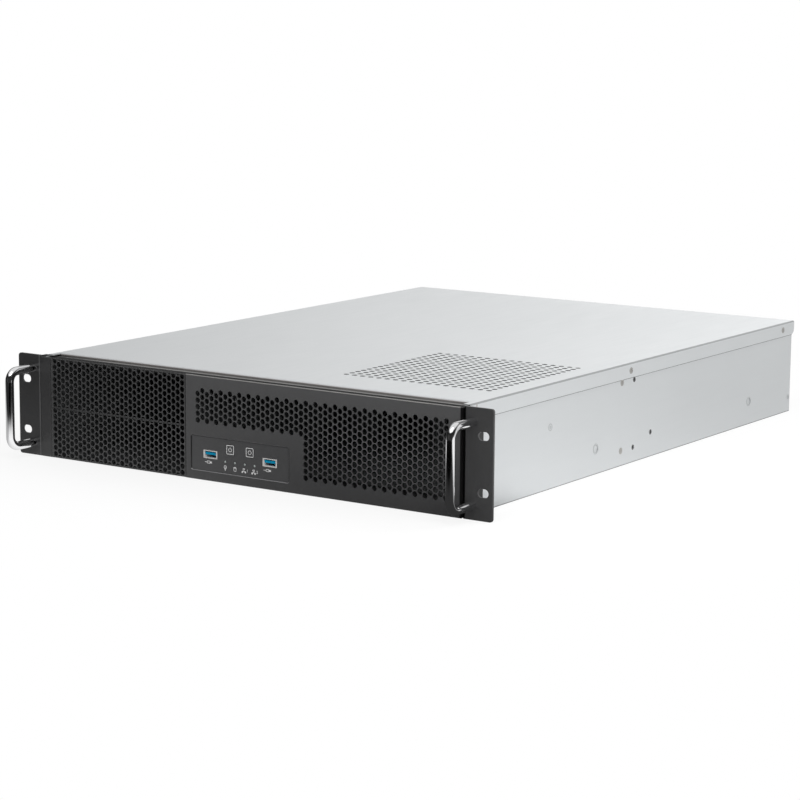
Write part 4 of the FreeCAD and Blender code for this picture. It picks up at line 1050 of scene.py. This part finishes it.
class CASE_OT_stage(bpy.types.Operator):
    """Pale floor, soft lamps, white surroundings and the camera"""
    bl_idname = "case.stage"
    bl_label = "Stage"

    def execute(self, context):
        self.floor()
        self.world()
        self.lamp("key", (0.6, -1.5, 2.4), 1.5, 20.0)
        self.lamp("fill", (1.05, -0.8, 0.5), 0.7, 9.0, False)
        self.lamp("back", (1.2, 1.1, 1.4), 1.6, 19.0, False)
        self.camera()
        bpy.context.scene.view_settings.view_transform = "Standard"
        return {"FINISHED"}

    def floor(self):
        """Shadows stay near the case; what glossy surfaces mirror of the floor is light in parts"""
        finish = Finish("floor_white")
        speck = finish.noise(40.0)
        finish.set(Base_Color=finish.blend(speck, FLOOR_DARK, FLOOR_LIGHT), Roughness=0.7,
                   Specular_IOR_Level=0.1)
        away = finish.node("ShaderNodeVectorMath", {"operation": "LENGTH"}, {0: finish.coords()}, "Value")
        seen = finish.node("ShaderNodeLightPath", {}, {}, "Is Camera Ray")
        direct = self.mix(finish, seen * away.ramp(0.3, 0.6, 0.8, 1.0), finish.glow(1.0),
                          Signal(finish.tree, finish.shader.outputs[0]))
        gap = finish.node("ShaderNodeVectorMath", {"operation": "DISTANCE"},
                          {0: finish.coords(), 1: MIRROR_GAP}, "Value")
        depth = finish.axis("Y")
        share = gap.ramp(0.36, 0.5, 0.03, 0.92) * depth.ramp(-0.3, 0.4, 1.0, 0.66)
        share = share * depth.ramp(-0.52, -0.38, 0.04, 1.0) * finish.axis("X").ramp(-0.26, -0.2, 0.5, 1.0)
        mirrored = self.mix(finish, share, finish.glow(1.15))
        gloss = finish.node("ShaderNodeLightPath", {}, {}, "Is Glossy Ray")
        ending = self.mix(finish, gloss, mirrored, direct)
        finish.feed(finish.tree.nodes["Material Output"].inputs[0], ending)
        bm = bmesh.new()
        bmesh.ops.create_grid(bm, x_segments=1, y_segments=1, size=FLOOR_HALF)
        mesh = bpy.data.meshes.new("floor")
        bm.to_mesh(mesh)
        bm.free()
        mesh.materials.append(finish.material)
        floor = bpy.data.objects.new("floor", mesh)
        bpy.context.scene.collection.objects.link(floor)

    def mix(self, finish, amount, second, first=None):
        """A shader between two others, or between none and another"""
        inputs = {0: amount, 2: second}
        if first:
            inputs[1] = first
        return finish.node("ShaderNodeMixShader", {}, inputs)

    def world(self):
        """White to the camera; what glossy surfaces mirror is light at the back and dark in front"""
        world = bpy.data.worlds.new("studio")
        bpy.context.scene.world = world
        world.use_nodes = True
        tree = world.node_tree
        tree.nodes.clear()
        rays = tree.nodes.new("ShaderNodeLightPath")
        seen = Signal(tree, rays.outputs["Is Camera Ray"])
        gloss = Signal(tree, rays.outputs["Is Glossy Ray"])
        way = tree.nodes.new("ShaderNodeTexCoord")
        parts = tree.nodes.new("ShaderNodeSeparateXYZ")
        tree.links.new(way.outputs["Generated"], parts.inputs[0])
        across, depth, height = (Signal(tree, socket) for socket in parts.outputs)
        back = depth.ramp(0.35, 0.75, 0.03, 1.0)
        low = height.ramp(0.3, 0.62, 1.0, 0.05)
        high = height.ramp(0.55, 0.75, 0.0, 0.8)
        sides = across.ramp(-0.8, -0.25, 0.58, 1.66) * across.ramp(-0.15, 0.25, 1.0, 0.5)
        strength = AMBIENT + seen * (1.0 - AMBIENT) + gloss * (back * low * sides + high - AMBIENT)
        light = tree.nodes.new("ShaderNodeBackground")
        light.inputs["Color"].default_value = WHITE
        tree.links.new(strength.socket, light.inputs["Strength"])
        tree.links.new(light.outputs[0], tree.nodes.new("ShaderNodeOutputWorld").inputs[0])

    def lamp(self, name, place, size, power, mirrored=True):
        data = bpy.data.lights.new(name, "AREA")
        data.size = size
        data.energy = power
        lamp = bpy.data.objects.new(name, data)
        lamp.location = place
        lamp.rotation_euler = (LAMP_AIM - Vector(place)).to_track_quat("-Z", "Y").to_euler()
        lamp.visible_glossy = mirrored
        bpy.context.scene.collection.objects.link(lamp)

    def camera(self):
        data = bpy.data.cameras.new("camera")
        data.sensor_width = 36.0
        data.lens = 110.947
        data.clip_end = 100.0
        camera = bpy.data.objects.new("camera", data)
        place = Vector((1.203747, EAR_Y - 1.571134, 0.411456))
        azimuth, elevation, roll = -0.588282, -0.170298, -0.007753
        aim = Matrix.Rotation(-azimuth, 4, "Z") @ Matrix.Rotation(math.pi / 2 + elevation, 4, "X")
        camera.matrix_world = Matrix.Translation(place) @ aim @ Matrix.Rotation(-roll, 4, "Z")
        bpy.context.scene.collection.objects.link(camera)
        bpy.context.scene.camera = camera


OPERATORS = (CASE_OT_finishes, CASE_OT_front_panel, CASE_OT_bay_covers, CASE_OT_top_cover, CASE_OT_handles,
             CASE_OT_screws, CASE_OT_side_marks, CASE_OT_controls, CASE_OT_stage)


class CASE_PT_panel(bpy.types.Panel):
    """Sidebar panel with the steps in the order in which they run"""
    bl_idname = "CASE_PT_panel"
    bl_label = "Rackmount case"
    bl_space_type = "VIEW_3D"
    bl_region_type = "UI"
    bl_category = "Case"

    def draw(self, context):
        layout = self.layout
        for group in (context.scene.case_sizes, context.scene.case_colours):
            column = layout.column(align=True)
            for name in group.__annotations__:
                column.prop(group, name)
        for operator in OPERATORS:
            layout.operator(operator.bl_idname)


CLASSES = (CaseSizes, CaseColours) + OPERATORS + (CASE_PT_panel,)


def register():
    for item in CLASSES:
        bpy.utils.register_class(item)
    bpy.types.Scene.case_sizes = bpy.props.PointerProperty(type=CaseSizes)
    bpy.types.Scene.case_colours = bpy.props.PointerProperty(type=CaseColours)


def unregister():
    del bpy.types.Scene.case_colours
    del bpy.types.Scene.case_sizes
    for item in reversed(CLASSES):
        bpy.utils.unregister_class(item)


def main():
    register()
    for operator in OPERATORS:
        family, name = operator.bl_idname.split(".")
        getattr(getattr(bpy.ops, family), name)()


if __name__ == "__main__":
    main()
